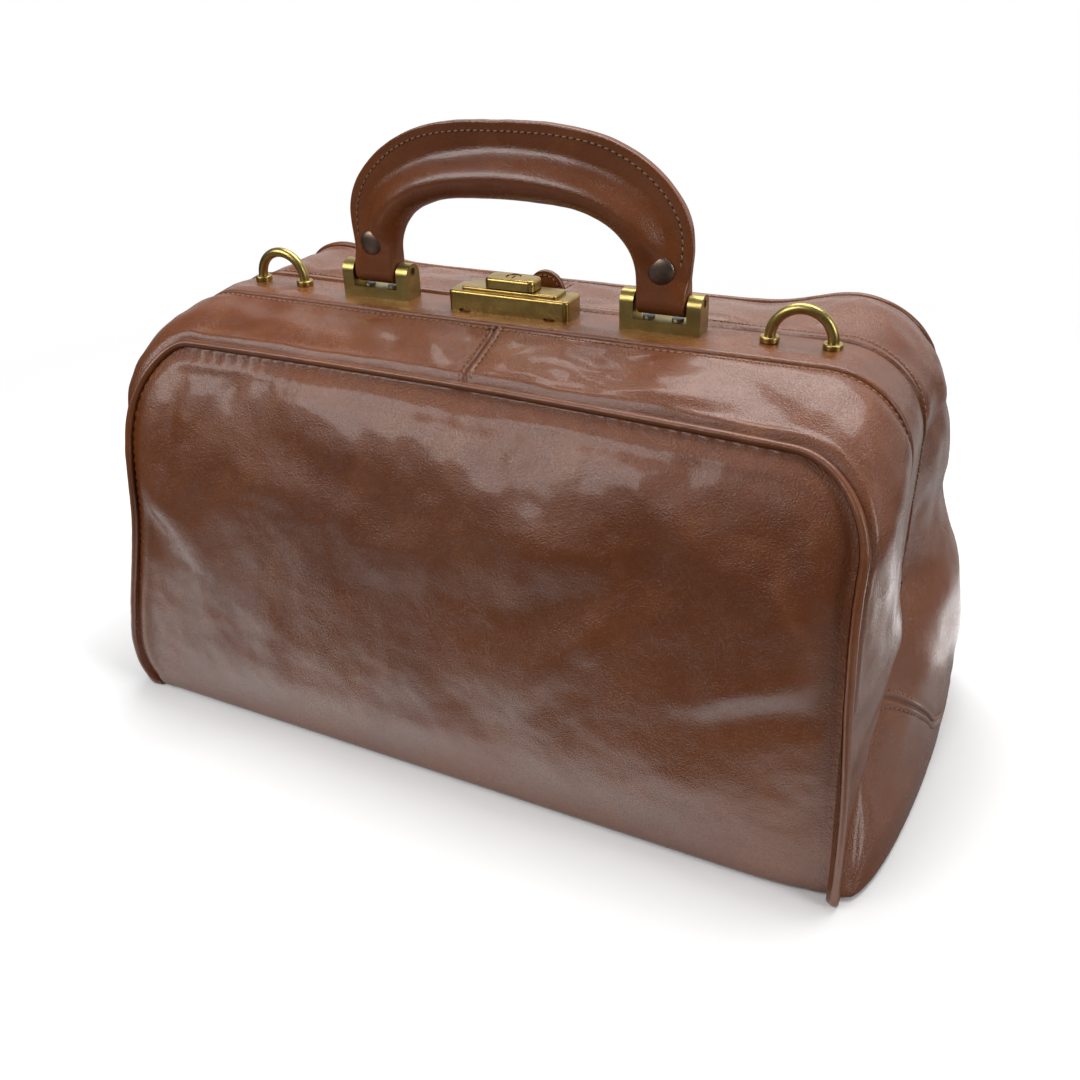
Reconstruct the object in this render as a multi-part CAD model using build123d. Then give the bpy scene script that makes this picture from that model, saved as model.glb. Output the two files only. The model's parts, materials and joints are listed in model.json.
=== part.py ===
from build123d import *
import os

# A leather doctor bag: soft body, two hinged steel frame halves, folding handle and lock.
# Millimetres, +Z up, +X along the length, the front faces -Y.
# The origin is on the ground, under the middle of the closed frame.

# Driving dimensions
FRAME_TOP = 213.8           # ground to the flat top of the front frame half
FRAME_HALF = 194.0          # half-length over the frame legs
FRAME_CORNER = 40.0         # outer corner radius of the frame
FRAME_FRONT = -19.0         # front seam of the frame cover
PARTING = 12.0              # plane where the two frame halves meet
FRAME_REAR = 21.0           # rear seam of the frame cover
HINGE_Z = 92.0              # height of the side hinge pins
COVER_FOOT = 103.0          # lower end of the leather on the frame legs
BASE_DEPTH = 100.0          # half-depth of the body at the ground
BASE_HALF = 198.0           # half-length of the panels at the ground
PANEL_HALF = 187.0          # half-length of the panels near the top
FRONT_TOP = 195.0           # top edge of the front panel
REAR_TOP = 209.0            # top edge of the rear panel
PANEL_CORNER = 38.0         # corner radius of both panels
END_BULGE = 212.0           # half-length over the bulging ends at the ground
END_TOP = 78.0              # height of the seam over the lower end panels
LEATHER = 2.4               # body leather
LINING = 1.0                # lining cloth
PIPING = 3.6                # piping diameter
GAP = 0.3                   # clearance between neighbouring pieces

BRACKET_X = 76.2            # handle brackets, from the middle
BRACKET = (38.5, 12.4, 18.0)
BRACKET_BASE = 5.5
BRACKET_EAR = 6.5
PIN_RADIUS = 2.0
PIN_RISE = 14.0             # pin centre over the frame top
HANDLE_HALF = 91.5          # half-length over the handle flange
HANDLE_TOP = 302.4
GRIP_RADIUS = 10.5
CORE_RADIUS = 8.0
FLANGE = 5.0                # thickness of the stitched handle flange
LUG = (24.0, 14.0)          # handle end, along X and Y

LOOP_X = 139.2              # strap loops, from the middle
LOOP_SPAN = 27.5
LOOP_RISE = 16.8
LOOP_ROD = 2.5
LOCK = (64.0, 17.2, 10.2)
LOCK_FRONT = -8.9
SHEET = 1.2                 # lock case sheet
BUTTON = (26.5, 12.0, 4.6)
BUTTON_TRAVEL = 7.0

WIDE = 260.0                # longer than any cut has to be

os.makedirs("parts", exist_ok=True)


# Small tools ----------------------------------------------------------------

def save(name, *shapes):
    """Writes one piece, or a group of equal pieces, to its own file."""
    shape = shapes[0] if len(shapes) == 1 else Compound(children=list(shapes))
    export_step(shape, f"parts/{name}.step")


def block(x, y, z):
    """A box from three (low, high) pairs."""
    size = [high - low for low, high in (x, y, z)]
    middle = [(high + low) / 2 for low, high in (x, y, z)]
    return Pos(*middle) * Box(*size)


def rod(x, y, z, radius, axis="X", along=0.0):
    """A cylinder centred on a point, its axis along X, Y or Z."""
    turn = {"X": Rot(0, 90, 0), "Y": Rot(90, 0, 0), "Z": Rot(0, 0, 0)}[axis]
    return Pos(x, y, z) * turn * Cylinder(radius, along)


def mirrored(shape):
    """The same piece on the other side of the bag."""
    return mirror(shape, about=Plane.YZ)


def both_sides(name, right):
    """Writes the right-hand piece and its left-hand mirror image."""
    save(f"right_{name}", right)
    save(f"left_{name}", mirrored(right))


def arch(half, top, corner, low, foot=None, foot_half=None):
    """A closed sketch in the XZ plane: straight sides and two rounded top corners."""
    foot_half = half if foot_half is None else foot_half
    foot = low if foot is None else foot
    points = [(-foot_half, foot), (-half, top), (half, top), (foot_half, foot)]
    face = make_face(Polyline(*points, close=True))
    upper = face.vertices().group_by(Axis.Y)[-1]
    return Plane.XZ * fillet(upper, corner)


def arch_block(half, top, corner, low, y_range):
    """An arch, extruded between two Y planes."""
    solid = extrude(arch(half, top, corner, low), amount=y_range[1] - y_range[0])
    return Pos(0, y_range[1], 0) * solid


def arch_strip(outer, inner, y_range, low):
    """The material of a frame half between two depths below its outer face."""
    def layer(depth):
        return arch_block(FRAME_HALF - depth, FRAME_TOP - depth, FRAME_CORNER - depth, low, y_range)
    return layer(outer) - layer(inner)


# Soft body ------------------------------------------------------------------

TURN_UNDER = 14.0           # radius where the panels turn under the base
UNDER_EDGE = 68.0           # how far in the turned edge reaches


def side_line(top_y, top_z, shoulder_y, shoulder_z, waist_y):
    """Half of the bag seen from the end: turned edge, lower corner, then up to the piping."""
    under = Line((UNDER_EDGE, LEATHER / 2), (BASE_DEPTH - TURN_UNDER, LEATHER / 2))
    wall = BASE_DEPTH - LEATHER / 2
    turn_top = TURN_UNDER + LEATHER / 2
    turn = TangentArc((BASE_DEPTH - TURN_UNDER, LEATHER / 2), (wall, turn_top), tangent=(1, 0))
    rise = Spline(
        (wall, turn_top), (waist_y, 100), (shoulder_y, shoulder_z), (top_y, top_z),
        tangents=[(0, 1), (top_y - shoulder_y, top_z - shoulder_z)],
    )
    return under, turn, rise


FRONT_LINE = side_line(55.5, FRONT_TOP, 72.0, 174.0, 91.0)
REAR_LINE = side_line(75.5, REAR_TOP, 84.5, 186.0, 95.0)


def wall_block(edges, thickness, side, inset=0.0):
    """A wall of the bag, extruded across its whole length."""
    strip = trace(Curve() + list(edges), thickness)
    wall = extrude(Plane.YZ * strip, amount=WIDE, both=True)
    wall = Pos(0, -inset, 0) * wall
    return mirror(wall, about=Plane.XZ) if side < 0 else wall


def inside_block(edges, side, inset):
    """Everything between the mid-plane and a wall's inner face."""
    under, turn, rise = edges
    end = rise @ 1
    close = Polyline((end.X, end.Y), (end.X, FRAME_TOP + 60), (0, FRAME_TOP + 60), (0, LEATHER / 2), (UNDER_EDGE, LEATHER / 2))
    region = make_face(Curve() + [under, turn, rise, close])
    solid = extrude(Plane.YZ * region, amount=WIDE, both=True)
    solid = Pos(0, -inset, 0) * solid
    return mirror(solid, about=Plane.XZ) if side < 0 else solid


def outline_block(top, grow):
    """The outline of a panel, extruded through the whole depth."""
    low = -30.0
    slope = (BASE_HALF - PANEL_HALF) / 150.0
    foot_half = BASE_HALF - slope * low + grow
    shape = arch(PANEL_HALF + grow, top + grow, PANEL_CORNER + grow, low, foot_half=foot_half)
    return extrude(shape, amount=WIDE, both=True)


def panel(edges, top, side):
    return wall_block(edges, LEATHER, side) & outline_block(top, -PIPING / 2 - 0.1)


def piping(edges, top, side):
    """Welt along the top and both ends of a panel, down to the ground."""
    ring = outline_block(top, PIPING / 2) - outline_block(top, -PIPING / 2)
    wall = wall_block(edges[1:], PIPING, side)
    above = block((-WIDE, WIDE), (-WIDE, WIDE), (LEATHER, WIDE + 100))
    return ring & wall & above


def lining_wall(edges, top, side):
    """Lining cloth behind a panel."""
    wall = wall_block(edges[2:], LINING, side, inset=LEATHER + 0.2)
    low = TURN_UNDER + 2
    trimmed = outline_block(top, -6.0) & block((-WIDE, WIDE), (-WIDE, WIDE), (low, top - 3))
    return wall & trimmed


def band(edges, top, side, seam, seam_top):
    """Soft gusset from the piping of one panel up to its frame half, as one shell."""
    end = edges[2] @ 1
    lean = (seam_top - top) / (end.X - seam)

    def hull(inset):
        near = arch(FRAME_HALF - 0.6 - inset, seam_top - inset, FRAME_CORNER - inset, END_TOP)
        drop = lean * (BASE_DEPTH - seam)
        far_top = seam_top - drop - inset
        far = arch(PANEL_HALF + 1 - inset, far_top, PANEL_CORNER - inset, END_TOP, foot_half=BASE_HALF - 3 - inset)
        return loft([Pos(0, -seam - GAP, 0) * near, Pos(0, -BASE_DEPTH, 0) * far])

    shell = hull(0.0) - hull(LEATHER)
    if side > 0:
        shell = mirror(shell, about=Plane.XZ)
    shell &= inside_block(edges, side, PIPING / 2 + 2 * GAP)
    return shell & block((GAP, WIDE), (-WIDE, WIDE), (END_TOP + GAP, WIDE + 100))


def plan_strip(points, thickness, z):
    """A curved strip seen from above, its outer face through the points."""
    outer = Spline(*points)
    inner = Spline(*[(x - thickness, y) for x, y in reversed(points)])
    ends = [Line(outer @ 1, inner @ 0), Line(inner @ 1, outer @ 0)]
    return Pos(0, 0, z) * make_face(Curve() + [outer, inner, *ends])


def end_wall(thickness, inset, low):
    """Lower end of the bag: bulging at the ground, folding inwards under the hinge."""
    base = [(BASE_HALF - 2, -92), (END_BULGE - 4, -50), (END_BULGE, 0), (END_BULGE - 4, 50), (BASE_HALF - 2, 92)]
    fold = [(PANEL_HALF + 4, -88), (200, -58), (189, 0), (200, 58), (PANEL_HALF + 4, 88)]
    shell = loft([plan_strip(base, thickness, LEATHER + GAP), plan_strip(fold, thickness, END_TOP)])
    shell = Pos(-inset, 0, 0) * shell
    keep = inside_block(FRONT_LINE, -1, PIPING / 2 + GAP) + inside_block(REAR_LINE, 1, PIPING / 2 + GAP)
    return shell & keep & block((0, WIDE), (-WIDE, WIDE), (low, END_TOP))


def bottom(half, bulge, depth, low, high):
    """A flat sheet with bowed ends."""
    right = ThreePointArc((half, -depth), (bulge, 0), (half, depth))
    left = ThreePointArc((-half, depth), (-bulge, 0), (-half, -depth))
    sides = [Line(right @ 1, left @ 0), Line(left @ 1, right @ 0)]
    return Pos(0, 0, low) * extrude(make_face(Curve() + [right, left, *sides]), amount=high - low)


def soft_body():
    save("front_panel", panel(FRONT_LINE, FRONT_TOP, -1))
    save("rear_panel", panel(REAR_LINE, REAR_TOP, 1))
    save("front_piping", piping(FRONT_LINE, FRONT_TOP, -1))
    save("rear_piping", piping(REAR_LINE, REAR_TOP, 1))
    both_sides("front_band", band(FRONT_LINE, FRONT_TOP, -1, -FRAME_FRONT, FRAME_TOP - 1))
    both_sides("rear_band", band(REAR_LINE, REAR_TOP, 1, FRAME_REAR, FRAME_TOP - 2))
    both_sides("end_panel", end_wall(LEATHER, 0.0, LEATHER + GAP))
    both_sides("end_lining", end_wall(LINING, LEATHER + 0.3, 8.0))
    save("front_lining", lining_wall(FRONT_LINE, FRONT_TOP, -1))
    save("rear_lining", lining_wall(REAR_LINE, REAR_TOP, 1))
    save("bottom_panel", bottom(BASE_HALF - 2, END_BULGE - 2, UNDER_EDGE - GAP, 0.0, LEATHER))
    save("base_board", bottom(186, 194, 80, LEATHER + GAP, 5.2))
    save("bottom_lining", bottom(186, 194, 80, 5.4, 6.4))


# Side hinges ----------------------------------------------------------------

COVER_SKIN = 2.2            # leather over the frame bars
BAR_OUT = 2.3               # depth of the steel bar below the cover's outer face
BAR_IN = 5.3
FACING_IN = 6.8             # depth of the inner facing strip
EYE_RADIUS = 8.0
HINGE_PIN = 2.5
EYE_OUT = FRAME_HALF - BAR_OUT
LAP_OUT = FRAME_HALF - BAR_IN
PLATE_X = (180.9, 183.9)    # hinge plate fixed inside each end


def hinges():
    """A steel plate inside each end of the bag carries the pin that both frame halves turn on."""
    eye_hole = rod(182, PARTING, HINGE_Z, HINGE_PIN, "X", 20)
    plate = block(PLATE_X, (PARTING - 8, PARTING + 8), (58, HINGE_Z))
    plate += rod(sum(PLATE_X) / 2, PARTING, HINGE_Z, 8, "X", PLATE_X[1] - PLATE_X[0])
    holes = [rod(182, PARTING + offset, 66, 1.5, "X", 20) for offset in (-4, 4)]
    both_sides("hinge_plate", plate - eye_hole - holes)
    pin_length = EYE_OUT + 0.4 - PLATE_X[0]
    pin = rod(PLATE_X[0] + pin_length / 2, PARTING, HINGE_Z, HINGE_PIN, "X", pin_length)
    pin += rod(EYE_OUT + 1.2, PARTING, HINGE_Z, 4.5, "X", 1.6)
    both_sides("hinge_pin", pin)
    rivets = []
    for offset in (-4, 4):
        rivet = rod(184.4, PARTING + offset, 66, 1.5, "X", 8.0)
        rivet += rod(180.3, PARTING + offset, 66, 2.8, "X", 1.2)
        rivets += [rivet, mirrored(rivet)]
    save("hinge_rivets", *rivets)


# Frame halves ---------------------------------------------------------------

def leg_cut():
    """Takes the lower front corner off each leg, so that the half clears the end panel as it opens."""
    points = [(-60, 60), (-60, 150), (FRAME_FRONT - 1, 134), (4, 84), (4, 60)]
    return extrude(Plane.YZ * make_face(Polyline(*points, close=True)), amount=WIDE, both=True)


def front_frame():
    skin = (FRAME_FRONT, PARTING - GAP)
    pocket = (skin[0] + COVER_SKIN, skin[1] - COVER_SKIN)
    bar = (pocket[0] + 0.2, pocket[1] - 0.2)
    cover = arch_strip(0, FACING_IN, skin, COVER_FOOT) - arch_strip(BAR_OUT - 0.1, FACING_IN + 1, pocket, COVER_FOOT - 1)
    save("front_frame_cover", cover - leg_cut())
    save("front_frame_facing", arch_strip(BAR_IN + 0.1, FACING_IN, bar, COVER_FOOT) - leg_cut())
    steel = arch_strip(BAR_OUT, BAR_IN, bar, HINGE_Z) - leg_cut()
    for side in (-1, 1):
        x = side * (EYE_OUT + LAP_OUT) / 2
        neck = block((x - 1.5, x + 1.5), (4, bar[1]), (HINGE_Z, COVER_FOOT + 2))
        steel += neck + rod(x, PARTING, HINGE_Z, EYE_RADIUS, "X", BAR_IN - BAR_OUT)
        steel -= rod(x, PARTING, HINGE_Z, HINGE_PIN + 0.05, "X", 20)
    save("front_frame_bar", steel)


def rear_frame():
    skin = (PARTING + GAP, FRAME_REAR)
    pocket = (skin[0] + 1.2, skin[1] - 1.2)
    bar = (pocket[0] + 0.1, pocket[1] - 0.1)
    drop = 1.2              # the rear half lies a little lower than the front one
    cover = arch_strip(drop, FACING_IN, skin, COVER_FOOT) - arch_strip(BAR_OUT - 0.05, FACING_IN + 1, pocket, COVER_FOOT - 1)
    save("rear_frame_cover", cover)
    save("rear_frame_facing", arch_strip(BAR_IN + 0.1, FACING_IN, bar, COVER_FOOT + 18))
    steel = arch_strip(BAR_OUT, BAR_IN, bar, COVER_FOOT)
    for side in (-1, 1):
        x = side * (LAP_OUT - 1.75)
        lap = block((x - 1.75, x + 1.75), bar, (HINGE_Z, COVER_FOOT + 14))
        eye = rod(x, PARTING, HINGE_Z, EYE_RADIUS, "X", 3.0)
        joggle = block(sorted((side * (LAP_OUT - 0.5), side * (LAP_OUT + 1))), bar, (COVER_FOOT, COVER_FOOT + 14))
        steel += lap + eye + joggle
        steel -= block(sorted((side * (LAP_OUT - 0.25), side * WIDE)), (0, 30), (60, COVER_FOOT))
        steel -= rod(x, PARTING, HINGE_Z, HINGE_PIN + 0.05, "X", 20)
    save("rear_frame_bar", steel)


# Lock -----------------------------------------------------------------------

LOCK_REAR = LOCK_FRONT + LOCK[1]
LOCK_MIDDLE = (LOCK_FRONT + LOCK_REAR) / 2
CASE_TOP = FRAME_TOP + LOCK[2]
PLATE_TOP = CASE_TOP + 2.2
TONGUE_X = -13.0
TONGUE_Z = (216.8, 218.8)


def lock():
    half = LOCK[0] / 2
    case = block((-half, half), (LOCK_FRONT, LOCK_REAR), (FRAME_TOP, CASE_TOP))
    case = fillet(case.edges().filter_by(Axis.Z), 1.6)
    case = fillet(case.faces().sort_by(Axis.Z)[-1].edges(), 1.0)
    case -= block((-half + SHEET, half - SHEET), (LOCK_FRONT + SHEET, LOCK_REAR - SHEET), (FRAME_TOP - 1, CASE_TOP - SHEET))
    case -= block((TONGUE_X - 8, TONGUE_X + 8), (LOCK_REAR - 3, LOCK_REAR + 1), (TONGUE_Z[0] - 0.7, TONGUE_Z[1] + 1.7))
    for x in (-24.0, 22.0):
        case -= block((x - 2, x + 2), (LOCK_FRONT - 1, LOCK_FRONT + 3), (FRAME_TOP - 1, FRAME_TOP + 0.9))
    slot = block((-4, 4 + BUTTON_TRAVEL), (LOCK_MIDDLE - 2.4, LOCK_MIDDLE + 2.4), (CASE_TOP - 3, PLATE_TOP + 1))
    save("lock_case", case - slot)

    plate = block((-27, 27), (LOCK_MIDDLE - 7, LOCK_MIDDLE + 7), (CASE_TOP, CASE_TOP + 1.2))
    plate += block((-23, 23), (LOCK_MIDDLE - 5.6, LOCK_MIDDLE + 5.6), (CASE_TOP + 1.2, PLATE_TOP))
    plate = fillet(plate.edges().filter_by(Axis.Z), 1.2)
    save("lock_top_plate", plate - slot)

    low, high = PLATE_TOP + GAP, PLATE_TOP + GAP + BUTTON[2]
    button = block((-BUTTON[0] / 2, BUTTON[0] / 2), (LOCK_MIDDLE - BUTTON[1] / 2, LOCK_MIDDLE + BUTTON[1] / 2), (low, high))
    button = fillet(button.edges().filter_by(Axis.Z), 2.0)
    button = fillet(button.faces().sort_by(Axis.Z)[-1].edges(), 1.0)
    button += block((-3.5, 3.5), (LOCK_MIDDLE - 2, LOCK_MIDDLE + 2), (CASE_TOP - 2.6, low + 1))
    key_y = LOCK_MIDDLE + 1.4
    button -= rod(0, key_y, high, 1.7, "Z", 3.0)
    button -= block((-0.8, 0.8), (key_y - 4.2, key_y), (high - 1.5, high + 1))
    save("lock_button", button)

    bolt = block((-20, 12), (LOCK_MIDDLE - 5.5, LOCK_MIDDLE + 5.5), (CASE_TOP - 3.8, CASE_TOP - 2.6))
    save("latch_bolt", bolt)

    spring_x = (12.4, half - SHEET - 0.4)
    middle_x = sum(spring_x) / 2
    leaf = Polyline((spring_x[0], -3), (middle_x, 3), (spring_x[1], -3))
    spring = extrude(trace(leaf, 0.5), amount=2.0)
    save("lock_spring", Pos(0, LOCK_MIDDLE, CASE_TOP - 4.4) * spring)

    lug_height = 4.0
    screws = []
    for x in (-28.4, 28.4):
        screw = rod(x, LOCK_MIDDLE, FRAME_TOP + lug_height / 2, 2.0, "Z", lug_height)
        screw += rod(x, LOCK_MIDDLE, FRAME_TOP + lug_height + 0.6, 2.3, "Z", 1.2)
        screws.append(screw)
    save("lock_screws", *screws)


def catch():
    """On the rear half: the tongue that enters the lock case, its rivets and the leather pull tab."""
    seat = FRAME_TOP - 1.2
    points = [
        (PARTING + 1, seat + 0.2), (20.2, seat + 0.2), (20.2, seat + 2.2), (15, seat + 2.2),
        (13, TONGUE_Z[1]), (-3, TONGUE_Z[1]), (-3, TONGUE_Z[0]), (PARTING, TONGUE_Z[0]),
    ]
    shape = Plane.YZ * make_face(Polyline(*points, close=True))
    tongue = Pos(TONGUE_X, 0, 0) * extrude(shape, amount=6.0, both=True)
    tongue -= rod(TONGUE_X, 2, TONGUE_Z[0], 3.0, "Z", 20)
    rivets = []
    for x in (TONGUE_X - 3.5, TONGUE_X + 3.5):
        tongue -= rod(x, 17.8, seat, 0.9, "Z", 10)
        rivets.append(rod(x, 17.8, seat + 1.3, 0.9, "Z", 2.4) + rod(x, 17.8, seat + 2.7, 1.5, "Z", 1.0))
    save("catch_tongue", tongue)
    save("catch_rivets", *rivets)

    tab_x, tab_half, tab_top = 9.5, 9.5, FRAME_TOP + 16.5
    tab = block((tab_x - tab_half, tab_x + tab_half), (15.2, 17.8), (seat + 0.2, tab_top - tab_half))
    tab += rod(tab_x, 16.5, tab_top - tab_half, tab_half, "Y", 2.6)
    save("pull_tab", tab & block((-WIDE, WIDE), (-WIDE, WIDE), (seat + 0.2, WIDE)))


# Handle and its brackets ----------------------------------------------------

PIN_Z = FRAME_TOP + PIN_RISE
RIVET_Z = FRAME_TOP + 28.2
GRIP_START = PIN_Z + 22     # the padded grip begins above the rivets
GRIP_LINE = [(-75, PIN_Z), (-71.5, 277), (71.5, 277), (75, PIN_Z)]
GRIP_CORNER = 33.0


def bracket():
    length, depth, height = BRACKET
    ear_x = length / 2 - BRACKET_EAR / 2
    base = block((-length / 2, length / 2), (-depth / 2, depth / 2), (0, BRACKET_BASE))
    for side in (-1, 1):
        ear = block((side * ear_x - BRACKET_EAR / 2, side * ear_x + BRACKET_EAR / 2), (-depth / 2, depth / 2), (0, height))
        top = ear.faces().sort_by(Axis.Z)[-1]
        base += fillet(top.edges().filter_by(Axis.X), depth / 2 - 0.4)
    base -= rod(0, 0, PIN_RISE, PIN_RADIUS, "X", length + 10)
    for side in (-1, 1):
        base -= rod(side * 7, 0, BRACKET_BASE, 1.6, "Z", 20)
    return Pos(BRACKET_X, 0, FRAME_TOP) * base


def brackets():
    both_sides("handle_bracket", bracket())
    both_sides("handle_pin", rod(BRACKET_X, 0, PIN_Z, PIN_RADIUS, "X", BRACKET[0] - 1.6))
    screws = []
    for side in (-1, 1):
        x = BRACKET_X + side * 7
        screw = rod(x, 0, FRAME_TOP + 3.0, 1.6, "Z", 6.0)
        screw += rod(x, 0, FRAME_TOP + BRACKET_BASE + 0.4, 2.8, "Z", 0.8)
        screws += [screw, mirrored(screw)]
    save("bracket_screws", *screws)


def grip_tube(radius):
    """A round bar along the middle of the grip, from above the rivets."""
    path = FilletPolyline(*GRIP_LINE, radius=GRIP_CORNER)
    section = Plane(origin=path @ 0, z_dir=path % 0) * Circle(radius)
    tube = Plane.XZ * sweep(section, path=path)
    return tube & block((-WIDE, WIDE), (-WIDE, WIDE), (GRIP_START, WIDE + 100))


def flange():
    """The two sewn leather layers outside the grip."""
    outer = [(-88, PIN_Z + 4), (-HANDLE_HALF, HANDLE_TOP - 2), (0, HANDLE_TOP), (HANDLE_HALF, HANDLE_TOP - 2), (88, PIN_Z + 4)]
    inner = [(75, PIN_Z + 4), (71.5, 277), (-71.5, 277), (-75, PIN_Z + 4)]
    face = make_face(Polyline(*outer, *inner, close=True))
    corners = face.vertices()
    face = fillet([v for v in corners if abs(abs(v.X) - HANDLE_HALF) < 0.01], 50.0)
    face = fillet([v for v in face.vertices() if abs(abs(v.X) - 71.5) < 0.01], GRIP_CORNER)
    return extrude(Plane.XZ * face, amount=FLANGE / 2, both=True)


def handle():
    half_x, half_y = LUG[0] / 2, LUG[1] / 2
    cover = grip_tube(GRIP_RADIUS) + flange()
    tangs, rivets = [], []
    for side in (-1, 1):
        x = side * BRACKET_X
        lug = block((x - half_x, x + half_x), (-half_y, half_y), (PIN_Z, PIN_Z + 25))
        cover += lug + rod(x, 0, PIN_Z, half_y, "X", LUG[0])
    core_zone = block((-WIDE, WIDE), (-WIDE, WIDE), (GRIP_START + 4, WIDE + 100))
    cover -= grip_tube(CORE_RADIUS + 0.1) & core_zone
    core = grip_tube(CORE_RADIUS) & core_zone
    for side in (-1, 1):
        x = side * BRACKET_X
        pocket = block((x - 8, x + 8), (-1.6, 1.6), (PIN_Z, PIN_Z + 21))
        pocket += rod(x, 0, PIN_Z, 4.6, "X", 16)
        cover -= pocket
        cover -= rod(x, 0, PIN_Z, PIN_RADIUS + 0.1, "X", 60)
        cover -= rod(x, 0, RIVET_Z, 2.5, "Y", 40)
        tang = block((x - 7.8, x + 7.8), (-1.4, 1.4), (PIN_Z, PIN_Z + 20.8))
        tang += rod(x, 0, PIN_Z, 4.4, "X", 15.6)
        tang -= rod(x, 0, PIN_Z, PIN_RADIUS + 0.05, "X", 60)
        tang -= rod(x, 0, RIVET_Z, 2.5, "Y", 40)
        tangs.append(tang)
        rivet = rod(x, 0, RIVET_Z, 2.5, "Y", LUG[1])
        for face in (-1, 1):
            rivet += rod(x, face * (half_y + 0.9), RIVET_Z, 6.4, "Y", 1.8)
        rivets.append(rivet)
    save("handle_cover", cover)
    save("handle_core", core)
    save("left_handle_tang", tangs[0])
    save("right_handle_tang", tangs[1])
    save("left_handle_rivet", rivets[0])
    save("right_handle_rivet", rivets[1])


# Strap loops ----------------------------------------------------------------

def strap_loops():
    half = LOOP_SPAN / 2
    rise = LOOP_RISE - half
    line = [Line((-half, 0.2), (-half, rise)), RadiusArc((-half, rise), (half, rise), half), Line((half, rise), (half, 0.2))]
    path = Wire(line)
    section = Plane(origin=path @ 0, z_dir=path % 0) * Circle(LOOP_ROD)
    loop = Plane.XZ * sweep(section, path=path)
    both_sides("strap_loop", Pos(LOOP_X, 0, FRAME_TOP) * loop)
    collars = []
    for side in (-1, 1):
        x = LOOP_X + side * half
        collar = rod(x, 0, FRAME_TOP + 1.7, 4.4, "Z", 3.0)
        collar = fillet(collar.edges(), 0.8) - rod(x, 0, FRAME_TOP, LOOP_ROD + 0.05, "Z", 20)
        collars += [collar, mirrored(collar)]
    save("loop_collars", *collars)


soft_body()
hinges()
front_frame()
rear_frame()
lock()
catch()
brackets()
handle()
strap_loops()
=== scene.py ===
import json
import math
import bpy
import numpy as np
from mathutils import Matrix, Vector, noise


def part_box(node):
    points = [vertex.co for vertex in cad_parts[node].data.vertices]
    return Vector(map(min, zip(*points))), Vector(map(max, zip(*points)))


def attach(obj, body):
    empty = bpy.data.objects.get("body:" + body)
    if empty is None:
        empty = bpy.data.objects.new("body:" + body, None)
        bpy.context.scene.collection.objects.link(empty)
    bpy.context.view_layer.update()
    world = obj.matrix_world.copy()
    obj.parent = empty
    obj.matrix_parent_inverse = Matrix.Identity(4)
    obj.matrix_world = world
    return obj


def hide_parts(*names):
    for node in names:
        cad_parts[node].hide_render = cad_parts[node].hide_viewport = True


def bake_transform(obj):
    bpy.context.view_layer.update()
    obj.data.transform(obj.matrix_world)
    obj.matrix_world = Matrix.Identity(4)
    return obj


# The visual model of a leather doctor bag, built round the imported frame.
# Shapes are worked out in millimetres in the frame's own axes: X length, front at -Y, Z up.

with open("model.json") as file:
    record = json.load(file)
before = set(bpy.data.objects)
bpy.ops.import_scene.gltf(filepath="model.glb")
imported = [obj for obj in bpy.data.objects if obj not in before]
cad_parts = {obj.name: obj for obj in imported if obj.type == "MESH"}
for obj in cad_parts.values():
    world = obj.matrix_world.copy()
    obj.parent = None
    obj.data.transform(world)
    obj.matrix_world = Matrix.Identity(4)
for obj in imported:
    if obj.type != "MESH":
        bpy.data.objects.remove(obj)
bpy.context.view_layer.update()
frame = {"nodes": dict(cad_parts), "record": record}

MM = 0.001


def centre_of(node):
    """Middle of a CAD piece's box in millimetres."""
    low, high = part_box(node)
    return [(a + b) / 2 / MM for a, b in zip(low, high)]


FRAME_BOX = [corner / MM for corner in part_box("front_frame_cover")]
FRAME_TOP = FRAME_BOX[1].z
FRAME_HALF = FRAME_BOX[1].x
FRAME_FRONT = FRAME_BOX[0].y
PARTING = FRAME_BOX[1].y + 0.3
FRAME_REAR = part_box("rear_frame_cover")[1].y / MM
FRAME_CORNER = 40.0             # radius of the frame's two upper corners


# Maths ----------------------------------------------------------------------

def spline(*knots):
    """A smooth function through (place, value) pairs; values may be vectors."""
    xs = np.array([k[0] for k in knots], float)
    ys = np.array([k[1] for k in knots], float)
    slopes = np.gradient(ys, xs, axis=0)

    def value(x):
        x = np.clip(np.asarray(x, float), xs[0], xs[-1])
        i = np.clip(np.searchsorted(xs, x, side="right") - 1, 0, len(xs) - 2)
        h = xs[i + 1] - xs[i]
        t = (x - xs[i]) / h
        if ys.ndim > 1:
            h, t = h[..., None], t[..., None]
        a = (1 + 2 * t) * (1 - t) ** 2 * ys[i] + t * (1 - t) ** 2 * h * slopes[i]
        b = t * t * (3 - 2 * t) * ys[i + 1] + t * t * (t - 1) * h * slopes[i + 1]
        return a + b

    return value


def smooth(t):
    """Smooth step from 0 to 1."""
    t = np.clip(t, 0, 1)
    return t * t * (3 - 2 * t)


def fractal(points, size, octaves=3, seed=0.0):
    """Smooth noise of about -1 to 1 with features of the given size."""
    flat = points.reshape(-1, 3) / size + seed
    values = [noise.fractal(Vector(p), 1.0, 2.0, octaves, noise_basis="PERLIN_ORIGINAL") for p in flat]
    return np.array(values).reshape(points.shape[:-1])


def unit(v):
    """Vectors made one long."""
    return v / np.maximum(np.linalg.norm(v, axis=-1, keepdims=True), 1e-9)


def grid_normals(points):
    """Unit normals of a grid of points."""
    along = np.gradient(points, axis=0)
    across = np.gradient(points, axis=1)
    return unit(np.cross(along, across))


def lengths(path):
    """Distance of each point of a path from its start, along the path."""
    return np.concatenate([[0], np.cumsum(np.linalg.norm(np.diff(path, axis=0), axis=1))])


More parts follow.
